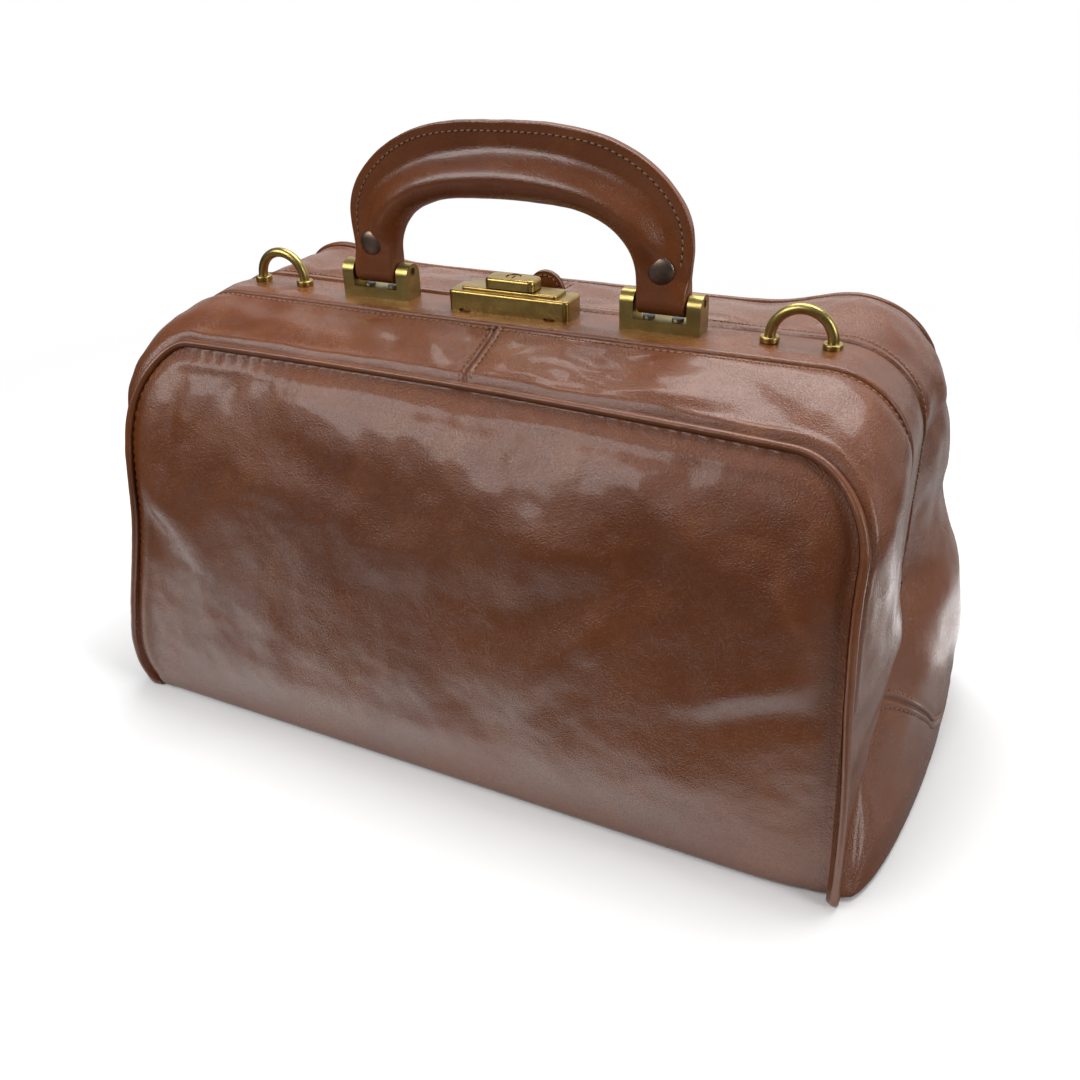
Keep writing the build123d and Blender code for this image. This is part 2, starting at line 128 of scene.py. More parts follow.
def points_at(places, length, path):
    """Points of a path at places along it, where length holds the place of each point it has."""
    return np.stack([np.interp(places, length, path[:, k]) for k in range(3)], -1)


def resample(path, step):
    """Points at an even spacing along a path."""
    path = np.asarray(path, float)
    length = lengths(path)
    count = max(2, int(round(length[-1] / step)) + 1)
    return points_at(np.linspace(0, length[-1], count), length, path)


# Meshes ---------------------------------------------------------------------

def add_object(name, data):
    """A new object in the scene."""
    obj = bpy.data.objects.new(name, data)
    bpy.context.scene.collection.objects.link(obj)
    return obj


def mesh_object(name, points, faces, material=None):
    """A smooth-shaded mesh from points in millimetres."""
    mesh = bpy.data.meshes.new(name)
    mesh.from_pydata((np.asarray(points, float) * MM).tolist(), [], faces)
    mesh.validate()
    mesh.polygons.foreach_set("use_smooth", [True] * len(mesh.polygons))
    if material:
        mesh.materials.append(material)
    return add_object(name, mesh)


def grid_faces(rows, columns, wrap=False, start=0, flip=False):
    """Faces of a grid of points whose rows follow each other from start; wrap closes each row into a ring."""
    faces = []
    last = columns if wrap else columns - 1
    for i in range(rows - 1):
        low = start + i * columns
        high = low + columns
        for j in range(last):
            k = (j + 1) % columns
            face = [low + j, low + k, high + k, high + j]
            faces.append(face[::-1] if flip else face)
    return faces


def shell(name, points, thickness, material, outward):
    """A closed sheet: the grid is its outer face, and outward is a direction at its middle."""
    rows, columns = points.shape[:2]
    normals = grid_normals(points)
    flip = np.dot(normals[rows // 2, columns // 2], outward) < 0
    if flip:
        normals = -normals
    inner = points - normals * thickness
    inner[..., 2] = np.maximum(inner[..., 2], 0.0)
    everything = np.concatenate([points.reshape(-1, 3), inner.reshape(-1, 3)])
    count = rows * columns
    faces = grid_faces(rows, columns, flip=flip)
    faces += grid_faces(rows, columns, start=count, flip=not flip)
    rim = [i * columns for i in range(rows)]
    rim += [(rows - 1) * columns + j for j in range(1, columns)]
    rim += [i * columns + columns - 1 for i in range(rows - 2, -1, -1)]
    rim += [j for j in range(columns - 2, 0, -1)]
    for a, b in zip(rim, rim[1:] + rim[:1]):
        face = [a, b, b + count, a + count]
        faces.append(face if flip else face[::-1])
    return mesh_object(name, everything, faces, material)


def tube(name, path, radius, material, sides):
    """A round tube along points, with a radius for each point."""
    tangent = unit(np.gradient(path, axis=0))
    never_along = np.array([0.13, 0.91, 0.39])      # a direction that the path never takes
    side = unit(np.cross(tangent, never_along))
    for i in range(1, len(path)):
        side[i] = side[i - 1] - tangent[i] * np.dot(side[i - 1], tangent[i])
        side[i] /= np.linalg.norm(side[i])
    up = np.cross(tangent, side)
    angle = np.linspace(0, 2 * np.pi, sides, endpoint=False)
    ring = side[:, None] * np.cos(angle)[None, :, None] + up[:, None] * np.sin(angle)[None, :, None]
    points = path[:, None] + ring * radius[:, None, None]
    faces = grid_faces(len(path), sides, wrap=True, flip=True)
    flat = points.reshape(-1, 3)
    flat = np.concatenate([flat, path[:1], path[-1:]])
    first, last, start = len(flat) - 2, len(flat) - 1, (len(path) - 1) * sides
    for j in range(sides):
        k = (j + 1) % sides
        faces.append([first, k, j][::-1])
        faces.append([last, start + j, start + k][::-1])
    return mesh_object(name, flat, faces, material)


def join(name, parts):
    """Joins pieces into one object."""
    points, faces, index, materials = [], [], [], []
    for part in parts:
        base = len(points)
        slots = []
        for material in part.data.materials:
            if material not in materials:
                materials.append(material)
            slots.append(materials.index(material))
        points += [part.matrix_world @ v.co for v in part.data.vertices]
        for p in part.data.polygons:
            faces.append([base + i for i in p.vertices])
            index.append(slots[p.material_index] if slots else 0)
        bpy.data.objects.remove(part)
    mesh = bpy.data.meshes.new(name)
    mesh.from_pydata(points, [], faces)
    mesh.polygons.foreach_set("use_smooth", [True] * len(mesh.polygons))
    for material in materials:
        mesh.materials.append(material)
    mesh.polygons.foreach_set("material_index", index)
    return add_object(name, mesh)


def stand_in(obj, slot, *nodes):
    """Shows a piece instead of these CAD pieces."""
    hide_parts(*nodes)


# Stitches -------------------------------------------------------------------

STITCH_STEP = 3.4
STITCH_LENGTH = 2.5
STITCH_RADIUS = 0.44
STITCH_SLANT = 0.14             # how far each stitch turns out of its row
# Dark balls of painted shade sit in the stitch holes, between the stitches, in place of their shadow.
SHADE_BALL_SIZE = (0.62, 0.5, 0.34)   # half-sizes along the row, across it, and of the height of each painted-shade ball in a stitch hole
SHADE_BALL_SINK = 0.12


def stitches(name, path, up, material, step=STITCH_STEP, sink=0.12):
    """A row of thread stitches on a surface, with a near-black ball of painted shade in the hole between each
    two; up is the surface normal.
    """
    length = lengths(path)
    ups = np.broadcast_to(np.asarray(up, float), path.shape)
    places = np.arange(step / 2, length[-1], step)
    centre = points_at(places, length, path)
    normal = unit(points_at(places, length, ups))
    along = unit(points_at(places + 0.8, length, path) - points_at(places - 0.8, length, path))
    along = unit(along - normal * np.sum(along * normal, 1, keepdims=True))
    side = np.cross(normal, along)
    along = unit(along + side * STITCH_SLANT)
    side = np.cross(normal, along)
    rings, sides = 5, 6
    t = np.linspace(-1, 1, rings)
    width = STITCH_RADIUS * np.sqrt(np.clip(1.04 - t ** 2, 0.04, 1)) ** 0.7
    angle = np.linspace(0, 2 * np.pi, sides, endpoint=False)
    base_along = np.repeat(t * STITCH_LENGTH / 2, sides)
    base_side = (width[:, None] * np.cos(angle)).ravel()
    arch = np.repeat(STITCH_RADIUS * 0.5 - 0.45 * t ** 2, sides)
    base_up = (width[:, None] * np.sin(angle)).ravel() + arch - sink
    points = (
        centre[:, None] + along[:, None] * base_along[None, :, None]
        + side[:, None] * base_side[None, :, None] + normal[:, None] * base_up[None, :, None]
    )
    faces = []
    for n in range(len(places)):
        start = n * rings * sides
        faces += grid_faces(rings, sides, wrap=True, start=start, flip=True)
        faces.append([start + k for k in range(sides)])
        faces.append([start + (rings - 1) * sides + k for k in range(sides)][::-1])
    row = mesh_object(name, points.reshape(-1, 3), faces, material)
    # near-black balls sunk between the stitches: painted shade for the shadow in each stitch hole
    row.data.materials.append(HOLE_SHADE)
    ball_points, ball_faces = shade_ball_shape()
    middles = centre[:-1] + (centre[1:] - centre[:-1]) / 2 - normal[:-1] * SHADE_BALL_SINK
    shade_balls = (
        middles[:, None] + along[:-1, None] * ball_points[None, :, :1]
        + side[:-1, None] * ball_points[None, :, 1:2] + normal[:-1, None] * ball_points[None, :, 2:]
    )
    count = len(ball_points)
    hole_faces = [[n * count + k for k in face] for n in range(len(middles)) for face in ball_faces]
    shade_pits = mesh_object(name + "_holes", shade_balls.reshape(-1, 3), hole_faces, HOLE_SHADE)
    return join(name, [row, shade_pits])


def shade_ball_shape():
    """A small flattened ball that carries the painted shade of a stitch hole: points and faces."""
    turns, levels = 8, (-0.9, 0.0, 0.6, 0.95)
    points = []
    for level in levels:
        ring = math.sqrt(1 - level * level)
        for k in range(turns):
            a = 2 * math.pi * k / turns
            ball = (ring * math.cos(a), ring * math.sin(a), level)
            points.append([place * size for place, size in zip(ball, SHADE_BALL_SIZE)])
    faces = grid_faces(len(levels), turns, wrap=True)
    faces.append(list(range(turns))[::-1])
    faces.append(list(range((len(levels) - 1) * turns, len(levels) * turns)))
    return np.array(points), faces


# Materials ------------------------------------------------------------------

SOCKETS = {
    "coat_weight": "Coat Weight", "coat_roughness": "Coat Roughness", "specular": "Specular IOR Level",
    "metallic": "Metallic", "sheen_weight": "Sheen Weight",
}


class Nodes:
    """A short way to write a node material."""

    def __init__(self, name):
        self.material = bpy.data.materials.new(name)
        self.material.use_nodes = True
        self.tree = self.material.node_tree
        self.shader = self.tree.nodes["Principled BSDF"]
        coordinates = self.tree.nodes.new("ShaderNodeTexCoord")
        self.place = coordinates.outputs["Object"]

    def add(self, kind, inputs=None, **settings):
        node = self.tree.nodes.new(kind)
        for key, value in settings.items():
            setattr(node, key, value)
        for key, value in (inputs or {}).items():
            if isinstance(value, bpy.types.NodeSocket):
                self.tree.links.new(value, node.inputs[key])
            else:
                node.inputs[key].default_value = value
        return node

    def noise(self, scale, detail=3.0, roughness=0.5, distortion=0.0, stretch=None):
        place = self.place
        if stretch:
            place = self.add("ShaderNodeMapping", {"Vector": place, "Scale": stretch}).outputs[0]
        inputs = {"Vector": place, "Scale": scale, "Detail": detail, "Roughness": roughness}
        return self.add("ShaderNodeTexNoise", {**inputs, "Distortion": distortion}).outputs["Fac"]

    def cells(self, scale, feature="F1"):
        node = self.add("ShaderNodeTexVoronoi", {"Vector": self.place, "Scale": scale}, feature=feature)
        return node.outputs["Distance"]

    def ramp(self, value, low, high, start=0.0, end=1.0):
        inputs = {"Value": value, "From Min": low, "From Max": high, "To Min": start, "To Max": end}
        return self.add("ShaderNodeMapRange", inputs).outputs[0]

    def mix(self, factor, a, b):
        node = self.tree.nodes.new("ShaderNodeMix")
        node.data_type = "RGBA"
        for socket, value in ((node.inputs[0], factor), (node.inputs[6], a), (node.inputs[7], b)):
            if isinstance(value, bpy.types.NodeSocket):
                self.tree.links.new(value, socket)
            else:
                socket.default_value = (*value, 1.0)
        return node.outputs[2]

    def maths(self, operation, a, b):
        return self.add("ShaderNodeMath", {0: a, 1: b}, operation=operation).outputs[0]

    def bump(self, height, strength, distance, under=None):
        inputs = {"Height": height, "Strength": strength, "Distance": distance}
        if under is not None:
            inputs["Normal"] = under
        return self.add("ShaderNodeBump", inputs).outputs[0]

    def emit(self, shader):
        """Puts a shader node in place of the standard one."""
        self.tree.links.new(shader.outputs[0], self.tree.nodes["Material Output"].inputs["Surface"])

    def finish(self, colour, roughness, normal=None, **constants):
        for key, value in (("Base Color", colour), ("Roughness", roughness), ("Normal", normal)):
            if value is None:
                continue
            if isinstance(value, bpy.types.NodeSocket):
                self.tree.links.new(value, self.shader.inputs[key])
            else:
                self.shader.inputs[key].default_value = (*value, 1.0) if key == "Base Color" else value
        for key, value in constants.items():
            self.shader.inputs[SOCKETS[key]].default_value = value
        return self.material


def leather(name, dark, mid, light, gloss=0.3, grain=1.0, crease=1.0):
    """Waxed, finely grained leather with mottled colour, fine creases and a soft polish."""
    n = Nodes(name)
    cloud = n.noise(9.0, 4.0, 0.55, 0.4)
    patch = n.noise(48.0, 5.0, 0.6, 0.4)
    fleck = n.noise(420.0, 3.0, 0.6)
    colour = n.mix(n.ramp(cloud, 0.35, 0.68), dark, mid)
    colour = n.mix(n.ramp(patch, 0.5, 0.78, 0.0, 0.55), colour, light)
    colour = n.mix(n.ramp(fleck, 0.48, 0.72, 0.0, 0.3), colour, dark)
    pores = n.cells(1700.0)
    fine = n.noise(950.0, 4.0, 0.62)
    lines = n.cells(650.0, "DISTANCE_TO_EDGE")
    veins = n.noise(105.0, 5.0, 0.62, 0.7)
    wrinkle = n.ramp(n.maths("ABSOLUTE", n.maths("SUBTRACT", veins, 0.5), 0.0), 0.0, 0.045)
    creased = n.ramp(n.noise(17.0, 3.0, 0.55), 0.47, 0.62)
    wrinkles = n.maths("MULTIPLY", n.maths("SUBTRACT", wrinkle, 1.0), creased)
    tooth = n.maths("ADD", n.maths("MULTIPLY", pores, 0.55), n.maths("MULTIPLY", fine, 1.1))
    mesh = n.maths("MULTIPLY", n.ramp(lines, 0.0, 0.3), 0.12)
    folds = n.maths("ADD", mesh, n.maths("MULTIPLY", veins, 0.6))
    folds = n.maths("ADD", folds, n.maths("MULTIPLY", wrinkles, 0.3))
    normal = n.bump(folds, 0.34 * crease, 0.0007)
    normal = n.bump(tooth, 0.42 * grain, 0.0004, normal)
    shine = n.noise(26.0, 4.0, 0.6, 0.8)
    roughness = n.ramp(n.maths("ADD", shine, n.maths("MULTIPLY", fleck, 0.25)), 0.4, 0.9, gloss, gloss + 0.13)
    return n.finish(colour, roughness, normal, coat_weight=0.22, coat_roughness=0.13, specular=0.42)


def thread(name, colour):
    """Twisted waxed thread."""
    n = Nodes(name)
    twist = n.add("ShaderNodeTexWave", {"Vector": n.place, "Scale": 700.0, "Distortion": 1.0}).outputs["Fac"]
    tint = n.mix(n.noise(300.0, 2.0), colour, tuple(c * 0.55 for c in colour))
    return n.finish(tint, 0.62, n.bump(twist, 0.4, 0.0002))


def metal(name, bright, dull, roughness, brushed=0.25, patina=0.5):
    """Plated metal with fine brushing, a patina in its clouds and small handling marks."""
    n = Nodes(name)
    brush = n.noise(300.0, 3.0, 0.65, 0.0, (1.0, 14.0, 14.0))
    cloud = n.noise(95.0, 4.0, 0.6, 0.5)
    spots = n.noise(700.0, 2.0, 0.5)
    colour = n.mix(n.ramp(cloud, 0.42, 0.72, 0.0, patina), bright, dull)
    colour = n.mix(n.ramp(spots, 0.62, 0.76, 0.0, 0.35), colour, dull)
    shade = n.ramp(n.maths("ADD", brush, cloud), 0.6, 1.4, roughness, roughness + 0.2)
    return n.finish(colour, shade, n.bump(brush, brushed, 0.00012), metallic=1.0)


def cloth(name, colour, second):
    """Twill cloth."""
    n = Nodes(name)
    twill = n.add("ShaderNodeTexWave", {"Vector": n.place, "Scale": 420.0}, bands_direction="DIAGONAL")
    wave = twill.outputs["Fac"]
    tint = n.mix(n.ramp(wave, 0.2, 0.8), colour, second)
    tint = n.mix(n.ramp(n.noise(30.0), 0.4, 0.7, 0.0, 0.4), tint, second)
    return n.finish(tint, 0.85, n.bump(wave, 0.5, 0.0003), sheen_weight=0.2)


def board(name, colour):
    """Dull cloudy board, also the near-black painted shade inside a stitch hole."""
    n = Nodes(name)
    tint = n.mix(n.noise(60.0, 5.0), colour, tuple(c * 0.6 for c in colour))
    return n.finish(tint, 0.8, n.bump(n.noise(600.0, 3.0), 0.3, 0.0003))


BODY_LEATHER = leather(
    "body_leather", (0.12, 0.031, 0.0075), (0.165, 0.046, 0.0108), (0.215, 0.068, 0.0175),
    gloss=0.21, grain=1.5,
)
PIPING_LEATHER = leather(
    "piping_leather", (0.11, 0.028, 0.007), (0.18, 0.052, 0.013), (0.25, 0.085, 0.025),
    gloss=0.26, crease=0.5,
)
HANDLE_LEATHER = leather(
    "handle_leather", (0.11, 0.028, 0.007), (0.165, 0.047, 0.0115), (0.22, 0.07, 0.019),
    gloss=0.22, grain=0.8, crease=0.5,
)
LINING = cloth("lining_cloth", (0.115, 0.075, 0.045), (0.075, 0.048, 0.028))
THREAD = thread("thread", (0.33, 0.165, 0.085))
# Near-black painted shade: small dark balls between the stitches stand in for the shadow inside each stitch
# hole.
HOLE_SHADE = board("stitch_hole_painted_shade", (0.010, 0.004, 0.002))
BRASS = metal("antique_brass", (0.43, 0.295, 0.095), (0.15, 0.095, 0.027), 0.2)
LOOP_BRASS = metal("loop_brass", (0.42, 0.32, 0.11), (0.15, 0.10, 0.03), 0.22)
BRONZE = metal("dark_bronze", (0.19, 0.135, 0.105), (0.06, 0.042, 0.032), 0.3, patina=0.7)
STEEL = metal("steel", (0.34, 0.33, 0.32), (0.2, 0.19, 0.18), 0.3, patina=0.3)
BOARD = board("fibre_board", (0.12, 0.10, 0.08))
PADDING = cloth("padding", (0.55, 0.50, 0.42), (0.42, 0.38, 0.32))


# Rails of the soft body -----------------------------------------------------

TOP_STEPS, CORNER_STEPS = 56, 26
PIPE = 1.9                      # piping radius
SKIN, PANEL_SKIN, COVER_SKIN = 2.0, 2.2, 1.6    # leather thicknesses: gussets and ends, panels, frame covers
CLOTH, THIN_CLOTH = 0.8, 0.7    # lining thicknesses: flat parts, and gussets and ends
TURN = 4.5                      # the panels turn under the base with this radius
END_TURN = 3.0                  # and the end pieces with this one
UNDER = 68.0                    # how far in the turned edges of the panels reach
END_SEAM = 66.0                 # the double-stitched seam across each end starts at this height at the fold
SEAM_DEPTH = 1.5                # the gusset edge lies this far under the frame cover's face
REAR_DROP = 1.0                 # the rear cover lies this far under the front one

# How much further out the front panel's left edge stands, by height: its bottom corner is rounded
LEFT_SWELL = spline(
    (-5, -10), (0, -8.5), (5, -3.5), (12, 1.5), (25, 5.5), (45, 5.5), (75, 3.0), (100, 1.5), (125, 2.0),
    (145, 3.2), (180, 3.2),
)
FRONT_HALF = spline((-5, 197), (0, 197), (50, 195), (100, 190), (150, 187.0), (175, 187))
REAR_HALF = spline((-5, 199), (0, 199), (50, 198), (100, 196), (137, 192.3), (160, 189.8), (175, 188))
FRONT_PROFILE = spline(
    (0, 104.5), (14, 103.3), (50, 98), (100, 91), (150, 82), (178, 70), (197, 56), (215, 42),
)
REAR_PROFILE = spline(
    (0, 101), (14, 101), (50, 99.5), (100, 96), (150, 91), (185, 85), (209, 76.5), (220, 73),
)
# Where each gusset's inner edge runs below the hinge: x and distance in front, by height
FRONT_FOLD = spline(
    (0, (198.4, -100)), (10, (197.4, -93)), (22, (196.4, -82)), (40, (195.6, -66)), (56, (194.6, -50)),
    (75, (193.2, -24)), (92, (192.0, 3)), (110, (192.0, -6)), (134, (192.3, FRAME_FRONT)),
    (190, (192.3, FRAME_FRONT)),
)
REAR_FOLD = spline(
    (0, (197.2, -102)), (10, (196.2, -95)), (22, (195.0, -84)), (40, (194.0, -68)), (56, (192.8, -52)),
    (75, (191.4, -26)), (92, (190.6, 5)), (110, (191.4, 16)), (134, (192.3, FRAME_REAR)),
    (190, (192.3, FRAME_REAR)),
)


def front_crest(x):
    """Height of the front panel's top edge."""
    return 196.3 - 1.7 * x / 150 - 1.6 * (x / 150) ** 2


def rear_crest(x):
    """Height of the rear panel's top edge, which sags between its shoulders."""
    return 205.5 + 9.5 * np.exp(-((np.abs(x) - 150) / 27.0) ** 2)


def leg_steps():
    """Shares of the way down a side, close together at the end seam and where the base turns under."""
    reach = 176.0
    even = np.linspace(reach, TURN, 66)
    near_seam = END_SEAM + np.array([-5.0, -3.6, -2.8, -2.0, -1.2, -0.6, 0.0, 0.6, 1.2, 2.0, 2.8, 3.6, 5.0])
    turned = TURN * (1 - np.sin(np.linspace(0, np.pi / 2, 10)[1:]))
    heights = np.concatenate([even[np.abs(even - END_SEAM) > 6], near_seam, turned])
    return 1 - np.sort(heights)[::-1] / reach


LEG = leg_steps()
TOP = np.linspace(0, 1, TOP_STEPS, endpoint=False) ** 1.45


def turned_in(z, radius):
    """How far an edge has curled inwards at a height below the radius."""
    k = np.clip((radius - z) / radius, 0, 1)
    return radius * (1 - np.sqrt(1 - k * k))


HANDS = ((1, "right"), (-1, "left"))


class Side:
    """The front or the rear half of the soft body."""

    def __init__(self, name, sign, profile, half_length, crest, seam_y, fold, corners):
        self.name, self.sign = name, sign
        self.profile, self.half_length, self.crest = profile, half_length, crest
        self.seam_y, self.fold, self.corners = seam_y, fold, corners

    def half(self, z, hand):
        """Distance of the piping from the middle at a height, on one hand."""
        left = self.name == "front" and hand < 0
        return self.half_length(z) + (LEFT_SWELL(z) if left else 0)

    def outline(self, hand):
        """Piping line from the top middle to the ground on one hand: points and outward normals."""
        wide, high = self.corners[hand]
        middle_x = self.half(170.0, hand) - wide
        edge = self.crest(hand * middle_x)
        x_top = middle_x * TOP
        a = np.linspace(np.pi / 2, 0, CORNER_STEPS, endpoint=False)
        z_leg = (edge - high) * (1 - LEG)
        x = np.concatenate([x_top, middle_x + wide * np.cos(a), self.half(z_leg, hand)])
        z = np.concatenate([self.crest(hand * x_top), edge - high + high * np.sin(a), z_leg])
        normal = np.zeros((len(x), 3))
        normal[:TOP_STEPS, 2] = 1
        normal[TOP_STEPS:TOP_STEPS + CORNER_STEPS, 0] = np.cos(a)
        normal[TOP_STEPS:TOP_STEPS + CORNER_STEPS, 2] = np.sin(a)
        normal[TOP_STEPS + CORNER_STEPS:, 0] = 1
        y = self.sign * (self.profile(z) - turned_in(z, TURN))
        mirror = np.array([hand, 1, 1])
        return np.stack([x, y, z], 1) * mirror, normal * mirror

    def seam(self, hand):
        """The gusset's inner edge: along the frame cover, round the fold, and down to the ground."""
        depth = SEAM_DEPTH if self.sign < 0 else REAR_DROP + 0.6
        r = FRAME_CORNER - depth
        half = FRAME_HALF - depth
        top = FRAME_TOP - depth
        x_top = (half - r) * TOP
        a = np.linspace(np.pi / 2, 0, CORNER_STEPS, endpoint=False)
        z_leg = (top - r) * (1 - LEG)
        down = self.fold(z_leg)
        x = np.concatenate([x_top, half - r + r * np.cos(a), down[:, 0]])
        z = np.concatenate([np.full(TOP_STEPS, top), top - r + r * np.sin(a), z_leg])
        low = down[:, 1] + turned_in(z_leg, TURN)
        y = np.concatenate([np.full(TOP_STEPS + CORNER_STEPS, float(self.seam_y)), low])
        return np.stack([x, y, z], 1) * np.array([hand, 1, 1])


# Width and height of each side's upper corners, by hand
FRONT_CORNERS = {1: (37, 37), -1: (31, 46)}
REAR_CORNERS = {1: (39, 39), -1: (39, 39)}
FRONT = Side("front", -1, FRONT_PROFILE, FRONT_HALF, front_crest, FRAME_FRONT, FRONT_FOLD, FRONT_CORNERS)
REAR = Side("rear", 1, REAR_PROFILE, REAR_HALF, rear_crest, FRAME_REAR, REAR_FOLD, REAR_CORNERS)

# How far the gussets bulge, and how near the piping, from the top middle (0) down to the ground (1)
FRONT_BULGE = spline(
    (0.0, 3.6), (0.36, 5.0), (0.45, 6.5), (0.60, 8.0), (0.70, 9.5), (0.77, 8.0), (0.84, 4.6), (0.9, 2.4),
    (1.0, 0.7),
)
FRONT_SKEW = spline(
    (0.0, 0.55), (0.36, 0.6), (0.6, 0.9), (0.72, 1.1), (0.77, 1.5), (0.84, 2.2), (0.94, 1.2), (1, 1),
)
REAR_BULGE = spline(
    (0.0, 2.5), (0.36, 4.0), (0.46, 6.0), (0.517, 8.5), (0.55, 11.5), (0.60, 11.5), (0.635, 12.0),
    (0.67, 14.0), (0.725, 19.0), (0.77, 23.5), (0.84, 27.0), (0.9, 28.0), (1.0, 27.0),
)
REAR_SKEW = spline((0.0, 0.6), (0.36, 0.7), (0.6, 0.9), (0.72, 0.75), (0.84, 0.58), (1.0, 0.576))


SHOULDER, KNEE = 0.367, 0.517   # shares of the way down a gusset at which its corner starts and ends
GUSSET_COLUMNS = 38
SEAM_ROW = 3.0                  # distance of a stitch row from its seam
LINING_GAP = 2.8                # the lining lies this far inside the gusset's outer face


def pressed_seam(d):
    """Height across a pressed-open seam: a groove, a soft puff each side, and a dip under each stitch row."""
    d = np.abs(d)
    puff = 0.75 * np.exp(-((d - 1.6) / 0.85) ** 2)
    groove = 1.5 * np.exp(-(d / 0.7) ** 2) + 0.6 * np.exp(-((d - SEAM_ROW) / 0.75) ** 2)
    return puff - groove


def gusset_fullness(side, hand, u):
    """How far a gusset bulges, by the share of the way down; the left end's corners differ a little."""
    left = 0.9 if hand < 0 else 0.0
    if side.sign < 0:
        return FRONT_BULGE(u) * (1 + left * np.exp(-((u - 0.49) / 0.07) ** 2))
    return REAR_BULGE(u) * (1 - left * np.exp(-((u - 0.46) / 0.12) ** 2))


def gusset_grid(side, hand, depth=0.0):
    """Points of the soft gusset between the piping and the frame, depth millimetres inside its outer face."""
    outer, normal = side.outline(hand)
    inner = side.seam(hand)
    corner = np.linspace(SHOULDER, KNEE, CORNER_STEPS, endpoint=False)
    u = np.concatenate([SHOULDER * TOP, corner, KNEE + (1 - KNEE) * LEG])
    fullness = gusset_fullness(side, hand, u)
    skew = FRONT_SKEW if side.sign < 0 else REAR_SKEW
    v = np.linspace(0, 1, GUSSET_COLUMNS)
    v = 0.55 * v + 0.45 * smooth(v)             # closer together at both edges
    back = side.sign * np.array([0, 1, 0])
    start = outer - back * PIPE - normal * 1.0
    span = np.linalg.norm(inner - start, axis=1)[:, None]
    d = v[None, :] * span
    points = start[:, None] + (inner - start)[:, None] * v[None, :, None]
    # a full arch, flatter on top near the ground, then a dip and a small roll beside the piping
    fat = 0.85 - 0.45 * smooth((75 - points[..., 2]) / 65)
    rise = fullness[:, None] * np.sin(np.pi * v[None, :] ** skew(u)[:, None]).clip(0, 1) ** fat
    rise = rise - 1.6 * np.exp(-(d / 1.7) ** 2) + 0.8 * np.exp(-((d - 3.8) / 1.5) ** 2)
    points = points + normal[:, None] * rise[..., None]
    points[:, 0] = outer - back * 0.6 - normal * 0.4    # the edge is sewn in inside the piping
    if side.sign > 0:
        points = slide_end_seam(points, u)
    ripple = fractal(points, 46.0, 3, 3.1 + side.sign) * 2.6 + fractal(points, 17.0, 2, 8.4) * 0.6
    ripple = ripple + dents(points[..., 0], points[..., 1], FRONT_GUSSET_DENTS if side.sign < 0 else [])
    calm = smooth(d / 9) * smooth((span - d) / 9) * smooth((points[..., 2] - 6) / 20)
    seams = pressed_seam(points[..., 0]) * smooth(d / 4)
    if side.sign > 0:
        seams = seams + pressed_seam(outer[:, 2] - END_SEAM)[:, None] * smooth(d / 4)
    tuck = turned_in(points[..., 2], END_TURN) * smooth(d / 12)
    points = points + normal[:, None] * (ripple * calm + seams - tuck)[..., None]
    if depth:
        points = points - facing_out(points) * depth
        points[..., 2] = np.maximum(points[..., 2], 0.5)
    return points


# How far the end seam drops below its start, from the rear piping (0) to the fold (1)
END_SEAM_DROP = spline(
    (0.0, -52.0), (0.2, -52.0), (0.3, -52.0), (0.4, -50.0), (0.5, -42.0), (0.6, -27.0), (0.7, -15.5),
    (0.8, -7.0), (0.9, -2.5), (1.0, 0.0),
)
SEAM_BAND = 4.0                 # rows this near the end seam keep their spacing


def slide_end_seam(points, u):
    """Slides the rows of a rear gusset along its surface so that the end seam runs down towards the rear."""
    height = points[:, :1, 2]
    share = np.linspace(0, 1, points.shape[1])[None, :]
    above = smooth((height - END_SEAM - SEAM_BAND) / 100)
    below = np.clip((END_SEAM - SEAM_BAND - height) / (END_SEAM - SEAM_BAND - TURN), 0, 1)
    drop = END_SEAM_DROP(share) * (1 - above) * (1 - below)
    leg = u > KNEE
    moved = points.copy()
    for j in range(points.shape[1]):
        column = points[leg, j]
        order = np.argsort(column[:, 2])
        target = column[:, 2] + drop[leg, j]
        for k in range(3):
            moved[leg, j, k] = np.interp(target, column[order, 2], column[order, k])
    return moved


def facing_out(points):
    """Normals of a grid, turned to point away from the middle of the bag."""
    normals = grid_normals(points)
    away = points - np.array([0, 0, 90.0])
    if np.sum(normals * away) < 0:
        normals = -normals
    return normals


def dents(x, z, table):
    """Soft dents and swells: centre, half-size along and across, turn in degrees, height."""
    total = np.zeros_like(x)
    for cx, cz, along, across, turn, height in table:
        c, s = math.cos(math.radians(turn)), math.sin(math.radians(turn))
        p, q = (x - cx) * c + (z - cz) * s, -(x - cx) * s + (z - cz) * c
        total += height * np.exp(-((p / along) ** 2) - (q / across) ** 2)
    return total


FRONT_GUSSET_DENTS = [
    (-150, -45, 26, 5, 8, -1.4), (-110, -38, 34, 5, -6, 1.2), (-60, -46, 40, 5, 5, -1.2),
    (60, -36, 30, 6, -12, -1.3), (95, -48, 30, 5, 10, 1.4), (135, -40, 22, 6, -30, -1.5),
    (30, -50, 24, 4, 4, 1.0),
]


# Share of the frame halves' turn for each point of the soft body (worked out, not applied) ---

PANEL_FOLLOW = {"front": 0.46, "rear": 0.30}    # how much of the frame's turn the panel's top edge takes
PANEL_FROM, PANEL_OVER = 60.0, 150.0            # the panels' share of the turn starts at this height and grows over this much
GUSSET_FROM, GUSSET_OVER = 70.0, 32.0           # and the gussets' inner edges' share at this one


